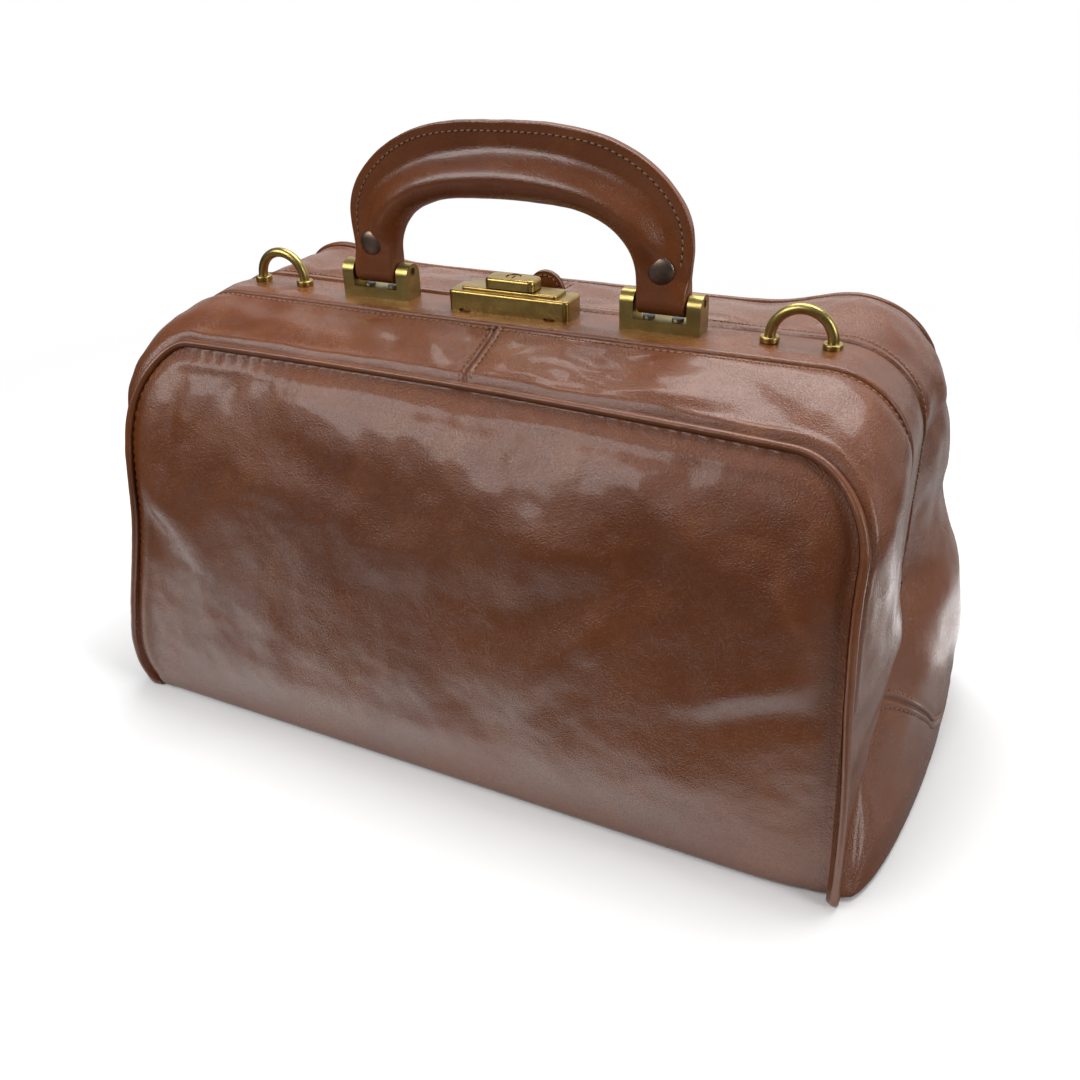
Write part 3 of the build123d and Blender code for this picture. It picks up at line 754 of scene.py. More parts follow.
def follow(side, points):
    """Share of the frame half's turn that each point of the soft body takes."""
    y, z = points[:, 1] / MM, points[:, 2] / MM
    rim = side.profile(np.clip(z, 0, 215))
    seam = abs(side.seam_y)
    across = smooth((rim - side.sign * y) / (rim - seam))
    panel = PANEL_FOLLOW[side.name] * smooth((z - PANEL_FROM) / PANEL_OVER)
    awake = smooth((z - GUSSET_FROM) / GUSSET_OVER)
    return panel + (awake - panel) * across * awake


def bend(obj, side):
    """Bakes a soft piece's place into its mesh and works out each point's share of the frame half's turn,
    which is not applied.
    """
    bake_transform(obj)
    points = np.array([v.co for v in obj.data.vertices])
    follow(side, points).astype(np.float32)
    return obj


# Panels ---------------------------------------------------------------------

PANEL_ROWS, PANEL_COLUMNS = 120, 180
PANEL_INSET = 1.5               # the panels end this far inside the middle of their piping
EDGE_ROLL, ROLL_WIDTH = 4.5, 17.0   # one side of each panel rolls back this far, over this width

# Soft dents and swells of the front panel: middle x, z, half-size along and across, turn in degrees, height
FRONT_DENTS = [
    (-174, 119, 30, 11, -35, 2.6), (-184, 101, 30, 12, -35, -2.8), (-128, 120, 40, 9, 38, 1.2),
    (-163, 160, 22, 6, 82, -2.0), (-178, 152, 20, 8, 84, 1.6), (-60, 150, 60, 13, -14, -2.4),
    (-20, 120, 70, 16, 20, 1.9), (35, 150, 48, 12, -24, 2.0), (75, 120, 52, 14, 30, -2.3),
    (110, 160, 36, 10, -35, 1.8), (140, 100, 44, 12, 58, 1.6), (150, 96, 34, 7, 22, 2.0),
    (154, 82, 34, 8, 20, -2.2), (0, 70, 90, 22, 6, 1.6), (-95, 60, 60, 16, 14, -1.6),
    (120, 45, 50, 13, -12, 1.3), (-140, 165, 26, 7, 50, -1.7), (160, 150, 24, 7, -58, -1.6),
    (60, 85, 40, 9, 48, 1.4),
]


def edge_distance(points, edge):
    """Distance in the XZ plane from a grid of points to a line."""
    flat = points.reshape(-1, 3)[:, [0, 2]]
    line = edge[::2][:, [0, 2]]
    best = np.full(len(flat), 1e9)
    for start in range(0, len(flat), 4000):
        part = flat[start:start + 4000]
        best[start:start + 4000] = np.sqrt(((part[:, None] - line[None]) ** 2).sum(-1)).min(1)
    return best.reshape(points.shape[:2])


def panel_grid(side, depth=0.0):
    """Outer face of a panel: a patch inside its piping, then the edge that turns under the base."""
    right, left = (line - normal * PANEL_INSET for line, normal in (side.outline(1), side.outline(-1)))
    above = right[:, 2] > TURN + 0.5
    right, left = right[above], left[above]
    knee = TOP_STEPS + CORNER_STEPS // 2
    rows, columns = PANEL_ROWS, PANEL_COLUMNS
    top = resample(np.concatenate([left[:knee + 1][::-1], right[1:knee + 1]]), 1.0)
    sides = [resample(line[knee:][::-1], 1.0) for line in (left, right)]

    def even(line, count):
        return points_at(np.linspace(0, len(line) - 1, count), np.arange(len(line)), line)

    upper = even(top, columns)
    west, east = even(sides[0], rows), even(sides[1], rows)
    t = np.linspace(0, 1, rows)[:, None, None]
    s = np.linspace(0, 1, columns)[None, :, None]
    lower = west[0] + (east[0] - west[0]) * s[0]
    patch = (1 - t) * lower[None] + t * upper[None] + (1 - s) * west[:, None] + s * east[:, None]
    corners = (1 - t) * ((1 - s) * lower[0] + s * lower[-1]) + t * ((1 - s) * upper[0] + s * upper[-1])
    patch = patch - corners
    rim = np.concatenate([left[::-1], right])
    distance = edge_distance(patch, rim)
    inset = smooth(distance / 16)
    y = side.profile(patch[..., 2])
    x, z = patch[..., 0], patch[..., 2]
    belly = 4.2 * np.clip(1 - (x / 190) ** 2, 0, 1) * np.clip(1 - ((z - 75) / 125) ** 2, 0, 1)
    soft = belly + dents(-side.sign * x, z, FRONT_DENTS)
    where = np.stack([x, np.zeros_like(x), z], -1)
    soft = soft + fractal(where, 62.0, 2, 1.7 * side.sign) * 2.2 + fractal(where, 24.0, 3, 5.5) * 0.8
    soft = soft * inset * smooth((z - 5) / 30)
    to_side = side.half_length(z) + side.sign * x
    roll = EDGE_ROLL * np.exp(-np.clip(to_side / ROLL_WIDTH, 0, 9) ** 1.6)
    soft = soft - roll * (0.35 + 0.65 * smooth(distance / 5))
    y = y + soft - 2.2 * np.exp(-distance / 2.2) + 0.7 * np.exp(-((distance - 7) / 2.6) ** 2)
    patch[..., 1] = side.sign * y
    lowest = patch[0]
    rows_under = []
    for angle in np.linspace(0, np.pi / 2, 14)[1:]:
        row = lowest.copy()
        row[:, 2] = lowest[:, 2] * (1 - math.sin(angle))
        row[:, 1] = side.sign * (np.abs(lowest[:, 1]) - turned_in(row[:, 2], TURN))
        for hand, _ in HANDS:
            mine = lowest[:, 0] * hand > 0
            ratio = side.half(row[mine, 2], hand) / side.half(lowest[mine, 2], hand)
            row[mine, 0] = lowest[mine, 0] * ratio
        rows_under.append(row)
    flat = rows_under[-1].copy()
    flat[:, 1] = side.sign * UNDER
    ordered = [flat] + rows_under[::-1] + list(patch)
    points = np.stack(ordered)
    if depth:
        normals = grid_normals(points)
        if normals[rows // 2, columns // 2, 1] * side.sign < 0:
            normals = -normals
        points = points - normals * depth
        points[..., 2] = np.maximum(points[..., 2], depth)
    return points


def build_panels():
    for side in (FRONT, REAR):
        out = np.array([0, side.sign, 0])
        panel = shell(side.name + "_panel_leather", panel_grid(side), PANEL_SKIN, BODY_LEATHER, out)
        stand_in(panel, "body_leather", side.name + "_panel")
        bend(panel, side)
        inside = panel_grid(side, PANEL_SKIN + CLOTH)[14:-5, 6:-6]
        lining = shell(side.name + "_panel_lining", inside, CLOTH, LINING, out)
        stand_in(lining, "lining_cloth", side.name + "_lining")
        bend(lining, side)


def build_piping():
    for side in (FRONT, REAR):
        right, _ = side.outline(1)
        left, _ = side.outline(-1)
        line = np.concatenate([left[::-1][:-1], right])
        line[:, 2] = np.maximum(line[:, 2], PIPE + 0.2)
        ends = [line[k] + np.array([0, -side.sign * 10.0, 0]) for k in (0, -1)]
        line = resample(np.concatenate([ends[:1], line, ends[1:]]), 1.5)
        wobble = fractal(line, 9.0, 2, 2.2) * 0.14
        piping = tube(side.name + "_welt", line, PIPE + wobble, PIPING_LEATHER, 16)
        stand_in(piping, "piping_leather", side.name + "_piping")
        bend(piping, side)


# Gussets --------------------------------------------------------------------

FRAME_ROW = 2.4                 # distance of the stitches along the frame from the gusset's edge
FRAME_ROW_FROM = 98.0           # they start at this height


def inward_path(points, normals, distance):
    """A line running this far from the last column of a grid, with its normals."""
    line, up = [], []
    for row, row_normals in zip(points[:, ::-1], normals[:, ::-1]):
        length = lengths(row)
        line.append(points_at(distance, length, row))
        up.append(points_at(distance, length, row_normals))
    return np.array(line), np.array(up)


def leg_row(side, height):
    """The row of a gusset's grid that starts at a height on the piping."""
    return int(np.argmin(np.abs(side.outline(1)[0][:, 2] - height)))


def build_gussets():
    for side in (FRONT, REAR):
        rows_along_frame = []
        for hand, word in HANDS:
            out = np.array([hand, side.sign * 0.5, 1.0])
            points = gusset_grid(side, hand)
            normals = facing_out(points)
            lining = gusset_grid(side, hand, LINING_GAP)[:, 5:-1]
            name = f"{word}_{side.name}_gusset"
            last = leg_row(side, END_SEAM) + 1 if side.sign > 0 else len(points)
            band = shell(name, points[:last], SKIN, BODY_LEATHER, out)
            stand_in(band, "body_leather", f"{word}_{side.name}_band")
            bend(band, side)
            inner = shell(name + "_lining", lining[:last], THIN_CLOTH, LINING, out)
            bend(inner, side)
            if side.sign > 0:
                build_end(side, word, points, normals, lining, np.array([hand, 0, 0.0]))
            upright = points[:, -1, 2] > FRAME_ROW_FROM
            rows_along_frame.append(inward_path(points[upright], normals[upright], FRAME_ROW))
        (right, right_up), (left, left_up) = rows_along_frame
        path = np.concatenate([left[::-1], right[1:]])
        ups = np.concatenate([left_up[::-1], right_up[1:]])
        bend(stitches(side.name + "_gusset_frame_stitches", path, ups, THREAD), side)
        bend(top_seam_stitches(side), side)


def top_seam_stitches(side):
    """Two stitch rows, one each side of the seam that joins the gusset halves at the top middle."""
    rows = []
    for hand, word in HANDS:
        points = gusset_grid(side, hand)
        normals = facing_out(points)
        columns = points[:30].transpose(1, 0, 2)
        line = np.array([points_at(SEAM_ROW, np.abs(column[:, 0]), column) for column in columns])
        rows.append(stitches(word, line[3:-3], normals[2, 3:-3], THREAD))
    return join(side.name + "_top_seam_stitches", rows)


def build_end(side, word, points, normals, lining, out):
    """The piece that closes an end below its double-stitched seam, turned under at the ground."""
    seam_row = leg_row(side, END_SEAM)
    last = points[-1]
    inward = np.array([-out[0], 0, 0])
    under = []
    for reach in (3.0, 8.0, 14.0, 22.0):
        row = last + inward * reach
        row[:, 2] = 0.3 + 0.2 * reach / 22
        under.append(row)
    skin = np.concatenate([points[seam_row:], np.array(under)])
    end = shell(word + "_end_leather", skin, SKIN, BODY_LEATHER, out)
    stand_in(end, "body_leather", word + "_end_panel")
    bend(end, side)
    inner = shell(word + "_end_cloth", lining[seam_row:-6], THIN_CLOTH, LINING, out)
    stand_in(inner, "lining_cloth", word + "_end_lining")
    bend(inner, side)
    rows = []
    for k, shift in enumerate((-SEAM_ROW, SEAM_ROW)):
        row = leg_row(side, END_SEAM + shift)
        rows.append(stitches(f"row_{k}", points[row, 3:-2], normals[row, 3:-2], THREAD))
    bend(join(word + "_end_seam_stitches", rows), side)


build_panels()
build_piping()
build_gussets()


# Frame covers ---------------------------------------------------------------

LEG_END = 93.0
LEG_POINTS, BEND_POINTS, TOP_POINTS = 46, 22, 110

# Swells of the front cover's leather round its loops and brackets: x, y, half-sizes, turn, height
COVER_SWELLS = [
    (-150, -13.5, 20, 3.2, 3, 1.0), (-108, -14, 12, 3.0, -6, 1.1), (-128, -10, 9, 2.6, 30, -0.8),
    (-168, -6, 9, 4, 40, 0.9), (148, -13, 16, 3.0, -12, 0.9), (120, -9, 12, 2.4, -24, 1.0),
    (112, -2, 10, 2.2, -20, -0.8), (162, -4, 10, 4, -35, 1.0), (-45, -14.5, 12, 2.6, 4, 0.8),
    (44, -12, 9, 3.0, -10, 0.8), (104, 6, 14, 2.4, 8, 0.7), (-60, 9, 20, 2.4, -4, 0.6),
    (60, 9, 24, 2.2, 4, 0.5), (0, 10, 30, 1.8, 0, 0.5),
]


def arch_line(low):
    """The frame's outer line from one foot over the top to the other, with its normals."""
    z_top, x_top = FRAME_TOP - FRAME_CORNER, FRAME_HALF - FRAME_CORNER
    a = np.linspace(0, np.pi / 2, BEND_POINTS)
    leg = np.linspace(low, z_top, LEG_POINTS, endpoint=False)
    z = np.concatenate([leg, z_top + FRAME_CORNER * np.sin(a)])
    x = np.concatenate([np.full(LEG_POINTS, FRAME_HALF), x_top + FRAME_CORNER * np.cos(a)])
    nx = np.concatenate([np.ones(LEG_POINTS), np.cos(a)])
    nz = np.concatenate([np.zeros(LEG_POINTS), np.sin(a)])
    across = np.linspace(x_top, -x_top, TOP_POINTS)[1:-1]
    points = np.stack([x, 0 * x, z], 1)
    normal = np.stack([nx, 0 * nx, nz], 1)
    middle = np.stack([across, 0 * across, np.full(len(across), FRAME_TOP)], 1)
    flip = np.array([-1, 1, 1])
    up = np.tile([0.0, 0.0, 1.0], (len(across), 1))
    line = np.concatenate([points, middle, (points * flip)[::-1]])
    return line, np.concatenate([normal, up, (normal * flip)[::-1]])


def cover_section(drop, near_lip, far_lip):
    """Across a frame cover: share of its width, shift along it, and depth below the frame's face."""
    turn = np.linspace(0, np.pi / 2, 7)
    edge = drop + near_lip
    rows = [(0, 0, edge + 4.0), (0, 0, edge + 2.6), (0, 0, edge + 1.2)]
    rows += [(0, near_lip * (1 - math.cos(a)), drop + near_lip * (1 - math.sin(a))) for a in turn]
    rows += [(t, 0, drop) for t in np.linspace(0.07, 0.93, 16)]
    rows += [(1, -far_lip * (1 - math.sin(a)), drop + far_lip * (1 - math.cos(a))) for a in turn]
    edge = drop + far_lip
    return rows + [(1, 0, edge + 1.2), (1, 0, edge + 2.6), (1, 0, edge + 4.0)]


def cover(name, node, start_of_z, end_of_z, section, swells):
    """Leather folded over a frame bar, with rounded lips and the swells that the hardware presses up."""
    base, normal = arch_line(LEG_END)
    start, end = start_of_z(base[:, 2]), end_of_z(base[:, 2])
    columns = []
    for share, shift, sunk in section:
        line = base - normal * sunk
        line[:, 1] = start + (end - start) * share + shift
        columns.append(line)
    points = np.stack(columns, 1)
    across = np.clip((points[..., 1] - start[:, None]) / (end - start)[:, None], 0, 1)
    puff = fractal(points, 15.0, 3, 4.4) * 0.3 + fractal(points, 40.0, 2, 9.9) * 0.4 + 0.5
    puff = puff + dents(points[..., 0], points[..., 1], swells) * normal[:, None, 2]
    puff = puff * np.sin(np.pi * across) ** 0.7
    points = points + normal[:, None] * puff[..., None]
    obj = shell(name, points, COVER_SKIN, BODY_LEATHER, np.array([0, 0, 1.0]))
    stand_in(obj, "body_leather", node)
    return obj


def facing(name, node, front, rear, low):
    """The leather strip inside a frame half, from its front edge to its rear one and up from a height."""
    base, normal = arch_line(low)
    columns = []
    near, far = front + 0.6, rear - 0.6
    for y, depth in ((front, 5.6), (front, 6.6), (near, 7.0), (far, 7.0), (rear, 6.6), (rear, 5.6)):
        line = base - normal * depth
        line[:, 1] = y
        columns.append(line)
    obj = shell(name, np.stack(columns, 1), 0.6, BODY_LEATHER, np.array([0, 0, 1.0]))
    stand_in(obj, "body_leather", node)
    return obj


def build_frame_covers():
    def front_edge(z):
        return FRONT_FOLD(z)[..., 1] - 0.6

    def front_parting(z):
        return 0 * z + PARTING - 0.15

    def rear_parting(z):
        return 0 * z + PARTING + 0.15

    def rear_edge(z):
        return REAR_FOLD(z)[..., 1] + 0.6

    section = cover_section(0.0, 1.7, 1.1)
    edges = (front_edge, front_parting)
    front = cover("front_frame_leather", "front_frame_cover", *edges, section, COVER_SWELLS)
    section = cover_section(REAR_DROP, 1.0, 0.8)
    edges = (rear_parting, rear_edge)
    rear = cover("rear_frame_leather", "rear_frame_cover", *edges, section, [])
    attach(front, "front_frame")
    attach(rear, "rear_frame")
    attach(facing("front_facing_leather", "front_frame_facing", FRAME_FRONT + 2.4, 9.0, 104), "front_frame")
    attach(facing("rear_facing_leather", "rear_frame_facing", 14.0, FRAME_REAR - 1.3, 122), "rear_frame")


build_frame_covers()


# Base -----------------------------------------------------------------------

def flat_sheet(name, half, depth, bulge, z, thickness, material):
    """A level sheet with rounded corners whose ends bulge."""
    rows, columns = 41, 61
    y = np.linspace(-depth, depth, rows)
    reach = half + bulge * np.cos(np.pi * y / 2 / depth) ** 2
    corner = 12.0
    reach = reach - turned_in(depth - np.abs(y), corner)
    x = reach[:, None] * np.linspace(-1, 1, columns)[None]
    points = np.stack([x, np.tile(y[:, None], (1, columns)), np.full((rows, columns), z)], -1)
    return shell(name, points, thickness, material, np.array([0, 0, -1.0]))


BASE_SIZE, BASE_BULGE = (190, 70.0), 14         # half length and half depth, and how far the ends bulge
BASE_CLOTH_SIZE, BASE_CLOTH_BULGE = (186, 79.0), 2
BASE_ROW = (186, 69.3)          # half length of the base's stitch rows, and their distance from the middle


def build_base():
    sheet = flat_sheet("bottom_leather", *BASE_SIZE, BASE_BULGE, 0.35, 1.8, BODY_LEATHER)
    stand_in(sheet, "body_leather", "bottom_panel")
    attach(sheet, "root")
    cloth_sheet = flat_sheet("bottom_cloth", *BASE_CLOTH_SIZE, BASE_CLOTH_BULGE, 5.4, CLOTH, LINING)
    stand_in(cloth_sheet, "lining_cloth", "bottom_lining")
    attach(cloth_sheet, "root")
    rows = []
    for sign in (-1, 1):
        x = np.linspace(-BASE_ROW[0], BASE_ROW[0], 160)
        line = np.stack([x, np.full(160, sign * BASE_ROW[1]), np.full(160, 0.0)], 1)
        rows.append(stitches("base_row", line, (0, 0, -1), THREAD, sink=0.5))
    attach(join("base_stitches", rows), "root")


build_base()


# Handle ---------------------------------------------------------------------

PIN_Z = centre_of("right_handle_pin")[2]
RIVET_Z = centre_of("right_handle_rivet")[2]
# The right half of the handle from its pin to the top middle: inner and outer edge
HANDLE_EDGES = spline(
    (0.00, (64.2, PIN_Z, 88.2, PIN_Z)), (0.08, (64.0, 234.0, 88.4, 235.0)),
    (0.16, (63.2, 240.3, 89.0, 243.0)), (0.24, (61.2, 246.2, 89.5, 251.5)),
    (0.33, (57.8, 251.9, 88.4, 261.5)), (0.42, (52.8, 257.2, 84.0, 271.2)),
    (0.52, (46.0, 261.4, 76.0, 281.0)), (0.63, (36.5, 264.7, 63.5, 290.6)),
    (0.74, (26.0, 266.3, 48.0, 297.4)), (0.87, (13.0, 267.0, 25.0, 301.4)),
    (1.00, (0.0, 267.2, 0.0, 302.4)),
)
GRIP = spline((0.0, 8.0), (0.16, 8.5), (0.26, 9.6), (0.4, 10.5), (0.6, 10.7), (1.0, 10.6))
FLANGE = 2.3                    # half thickness of the stitched edge
LUG = spline((0.0, 6.9), (0.07, 6.5), (0.14, 5.7), (0.4, 5.4), (1.0, 5.4))   # half thickness of the ends
HALF_RING = 30
STITCH_INSET = 4.6              # distance of the stitches from the outer edge
RIVET_STATION = 0.155


def padding_share(s):
    """How much of the padded section a station of the handle has, against the flat lug at its end."""
    return float(smooth((s - 0.10) / 0.24))


def handle_section(width, grip, lug, padded):
    """Half thickness across a handle section, from its inner edge to its outer edge."""
    across = width * (1 - np.cos(np.linspace(0, np.pi, HALF_RING + 1))) / 2
    q = across / (2 * grip)
    roll = grip * np.sqrt(np.clip(1 - (1 - 2 * q) ** 2, 0, 1))
    shoulder = FLANGE + (grip - FLANGE) * (0.5 + 0.5 * np.cos(np.pi * np.clip((q - 0.5) / 0.66, 0, 1)))
    edge = np.clip((width - across) / 1.1, 0, 1)
    soft = np.where(q < 0.5, roll, shoulder) * np.clip(1 - (1 - edge) ** 4, 0, 1) ** 0.25
    thinner = 1 - (0.5 if lug < 6 else 0.5 * (6.9 - lug) / 0.9) * smooth((across / width - 0.70) / 0.26)
    flat = lug * thinner * np.clip(1 - np.abs(2 * across / width - 1) ** 16, 0, 1) ** 0.3
    return across, soft * padded + flat * (1 - padded)


def handle_edges(s, drop=0.0):
    """Inner and outer edge of the handle at a station, and its width."""
    ix, iz, ox, oz = HANDLE_EDGES(s)
    inner, outer = np.array([ix, 0, iz + drop]), np.array([ox, 0, oz + drop])
    return inner, outer, np.linalg.norm(outer - inner)


def handle_rings():
    """Rings of the handle's leather from one end over the top to the other."""
    rings = []
    stations = np.concatenate([np.linspace(0, 0.3, 22, endpoint=False), np.linspace(0.3, 1, 46)])
    for angle in np.linspace(np.pi / 2, 0, 8, endpoint=False):
        rings.append((0.0, -float(LUG(0.0)) * math.sin(angle), math.cos(angle)))
    rings += [(s, 0.0, 1.0) for s in stations]
    result = []
    for s, drop, squeeze in rings:
        inner, outer, width = handle_edges(s, drop)
        n = (outer - inner) / width
        padded = padding_share(s)
        across, thick = handle_section(width, float(GRIP(s)), float(LUG(s)), padded)
        groove = np.where(np.arange(HALF_RING + 1) == HALF_RING, 0.5 * padded, 0.0)
        near = inner + n * (across - groove)[:, None] + np.array([0, -1, 0]) * (thick * squeeze)[:, None]
        far = near * np.array([1, -1, 1])
        result.append(np.concatenate([near, far[1:-1][::-1]]))
    right = np.array(result)
    left = right[:-1][::-1] * np.array([-1, 1, 1])
    return np.concatenate([right, left])


def build_handle():
    rings = handle_rings()
    count = rings.shape[1]
    bumpy = fractal(rings, 22.0, 3, 6.6) * 0.35 + fractal(rings, 9.0, 2, 1.3) * 0.12
    centre = rings.mean(axis=1, keepdims=True)
    rings = rings + unit(rings - centre) * bumpy[..., None] * smooth((rings[..., 2] - 246) / 10)[..., None]
    points = rings.reshape(-1, 3)
    faces = grid_faces(len(rings), count, wrap=True)
    faces.append(list(range(count)))
    faces.append(list(range(len(points) - count, len(points)))[::-1])
    handle = mesh_object("handle_leather_cover", points, faces, HANDLE_LEATHER)
    stand_in(handle, "handle_leather", "handle_cover", "handle_core")
    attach(handle, "handle")
    rows = []
    for face in (-1, 1):
        line = []
        for s in np.linspace(0.17, 1, 90):
            inner, outer, width = handle_edges(s)
            across, thick = handle_section(width, float(GRIP(s)), float(LUG(s)), padding_share(s))
            at = width - STITCH_INSET
            point = inner + (outer - inner) * at / width
            point[1] = face * np.interp(at, across, thick)
            line.append(point)
        line = np.array(line)
        line = np.concatenate([line, (line[:-1] * np.array([-1, 1, 1]))[::-1]])
        rows.append(stitches("handle_row", line, (0, face, 0), THREAD, sink=0.1))
    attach(join("handle_stitches", rows), "handle")


def build_handle_rivets():
    """Domed rivet heads on both faces of each end, with the shank between them."""
    seat = float(LUG(RIVET_STATION)) - 0.3
    radius, rise, brim, shank = 6.4, 1.9, 0.5, 2.0
    section = [(shank, 0.0), (shank, seat - 0.6), (radius - 0.5, seat - 0.6), (radius, seat - 0.2)]
    section.append((radius, seat + brim - 0.2))
    for a in np.linspace(0.25, np.pi / 2, 9):
        section.append(((radius - 0.1) * math.cos(a) + 0.02, seat + brim + rise * (math.sin(a) - 0.2)))
    for _, word in HANDS:
        middle = centre_of(word + "_handle_rivet")[0]
        turn = np.linspace(0, 2 * np.pi, 36, endpoint=False)
        halves = []
        for face in (-1, 1):
            rings = [
                np.stack([middle + r * np.cos(turn), np.full(36, face * y), RIVET_Z + r * np.sin(turn)], 1)
                for r, y in section
            ]
            faces = grid_faces(len(rings), 36, wrap=True, flip=face > 0)
            halves.append(mesh_object("half", np.concatenate(rings), faces, BRONZE))
        rivet = join(word + "_rivet_heads", halves)
        stand_in(rivet, "dark_bronze", word + "_handle_rivet")
        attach(rivet, "handle")


build_handle()
build_handle_rivets()


# Lock -----------------------------------------------------------------------

def rounded_rectangle(half_x, half_y, radius, steps=7):
    """Outline of a rounded rectangle, anticlockwise, with the direction out of each point."""
    points, normals = [], []
    for quarter in range(4):
        cx = (half_x - radius) * (1 if quarter in (0, 3) else -1)
        cy = (half_y - radius) * (1 if quarter in (0, 1) else -1)
        for a in np.linspace(0, np.pi / 2, steps) + quarter * np.pi / 2:
            normals.append((math.cos(a), math.sin(a)))
            points.append((cx + radius * math.cos(a), cy + radius * math.sin(a)))
    return np.array(points), np.array(normals)


def pressed_form(name, centre, half, radius, profile, material):
    """A rounded rectangle of metal carried up through (inset, height) steps, with closed ends."""
    outline, normals = rounded_rectangle(half[0], half[1], radius)
    count = len(outline)
    rings = [np.concatenate([outline - normals * inset, np.full((count, 1), z)], 1) for inset, z in profile]
    points = np.array(rings) + np.array([centre[0], centre[1], 0])
    faces = grid_faces(len(profile), count, wrap=True)
    faces.append(list(range(count))[::-1])
    faces.append(list(range((len(profile) - 1) * count, len(profile) * count)))
    return mesh_object(name, points.reshape(-1, 3), faces, material)


def rounded_top(low, high, radius, steps=5):
    """Profile of a wall that ends in a rounded top edge."""
    turns = np.linspace(0, np.pi / 2, steps)
    arc = [(radius * (1 - math.cos(a)), high - radius + radius * math.sin(a)) for a in turns]
    return [(0.0, low), (0.0, (low + high) / 2)] + arc


def cut(obj, *cutters):
    """Takes the cutters away from an object."""
    for cutter in cutters:
        modifier = obj.modifiers.new("cut", "BOOLEAN")
        modifier.operation = "DIFFERENCE"
        modifier.solver = "EXACT"
        modifier.object = cutter
        mesh = bpy.data.meshes.new_from_object(obj.evaluated_get(bpy.context.evaluated_depsgraph_get()))
        obj.modifiers.clear()
        obj.data = mesh
        bpy.data.objects.remove(cutter)
    obj.data.set_sharp_from_angle(angle=math.radians(32))


def block(centre, half, turn=0.0):
    """A plain cutter."""
    corners = []
    c, s = math.cos(turn), math.sin(turn)
    for z in (-1, 1):
        for x, y in ((-1, -1), (1, -1), (1, 1), (-1, 1)):
            px, py, pz = x * half[0], y * half[1], z * half[2]
            corners.append((centre[0] + px * c - py * s, centre[1] + px * s + py * c, centre[2] + pz))
    faces = [[3, 2, 1, 0], [4, 5, 6, 7]] + [[k, (k + 1) % 4, 4 + (k + 1) % 4, 4 + k] for k in range(4)]
    return mesh_object("cutter", corners, faces)


def disc(centre, radius, low, high):
    """A round cutter or plug."""
    turns = 28
    a = np.linspace(0, 2 * np.pi, turns, endpoint=False)
    ring = np.stack([centre[0] + radius * np.cos(a), centre[1] + radius * np.sin(a)], 1)
    points = np.concatenate([np.c_[ring, np.full(turns, low)], np.c_[ring, np.full(turns, high)]])
    faces = grid_faces(2, turns, wrap=True) + [list(range(turns))[::-1], list(range(turns, 2 * turns))]
    return mesh_object("disc", points, faces)


def middle_and_half(node):
    """Middle and half-size of a CAD piece's box in millimetres."""
    low, high = (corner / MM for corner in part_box(node))
    return (low + high) / 2, (high - low) / 2


def finish_brass(obj, node, body, sharp=None):
    """Puts a brass piece of the lock in place of its CAD piece."""
    if sharp:
        obj.data.set_sharp_from_angle(angle=math.radians(sharp))
    stand_in(obj, "antique_brass", node)
    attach(obj, body)


def build_lock():
    centre, half = middle_and_half("lock_case")
    bottom, top = centre.z - half.z, centre.z + half.z
    case = pressed_form("lock_case_brass", centre, half, 2.8, rounded_top(bottom, top, 1.3), BRASS)
    front = centre.y - half.y
    cutters = [block((x, front, bottom), (2.9, 1.6, 1.5)) for x in (-23.0, 22.5)]
    for x in (-1, 1):
        for y in (-1, 1):
            corner = (centre.x + x * (half.x - 0.9), centre.y + y * (half.y - 0.9), (top + bottom) / 2 - 1)
            cutters.append(block(corner, (1.4, 0.22, half.z - 0.6), math.atan2(y, x)))
    cut(case, *cutters)
    finish_brass(case, "lock_case", "front_frame")

    centre, half = middle_and_half("lock_top_plate")
    wall = rounded_top(centre.z - half.z - 0.4, centre.z + half.z - 0.5, 0.8)
    plate = pressed_form("lock_plate_brass", centre, (25.5, half.y - 0.5), 1.8, wall, BRASS)
    finish_brass(plate, "lock_top_plate", "front_frame", sharp=50)

    centre, half = middle_and_half("lock_button")
    high = centre.z + half.z
    button = pressed_form("lock_button_brass", centre, half, 3.2, rounded_top(high - 5.0, high, 1.5), BRASS)
    keyhole = (centre.x, centre.y + 0.6)
    cut(button, disc(keyhole, 3.9, high - 1.1, high + 1))
    plug = disc(keyhole, 3.3, high - 1.6, high - 0.35)
    plug.data.materials.append(BRASS)
    cut(plug, block((keyhole[0], keyhole[1], high), (0.45, 2.2, 1.6)))
    whole = join("lock_button_brass", [button, plug])
    finish_brass(whole, "lock_button", "lock_button", sharp=32)


build_lock()


# Pull tab -------------------------------------------------------------------

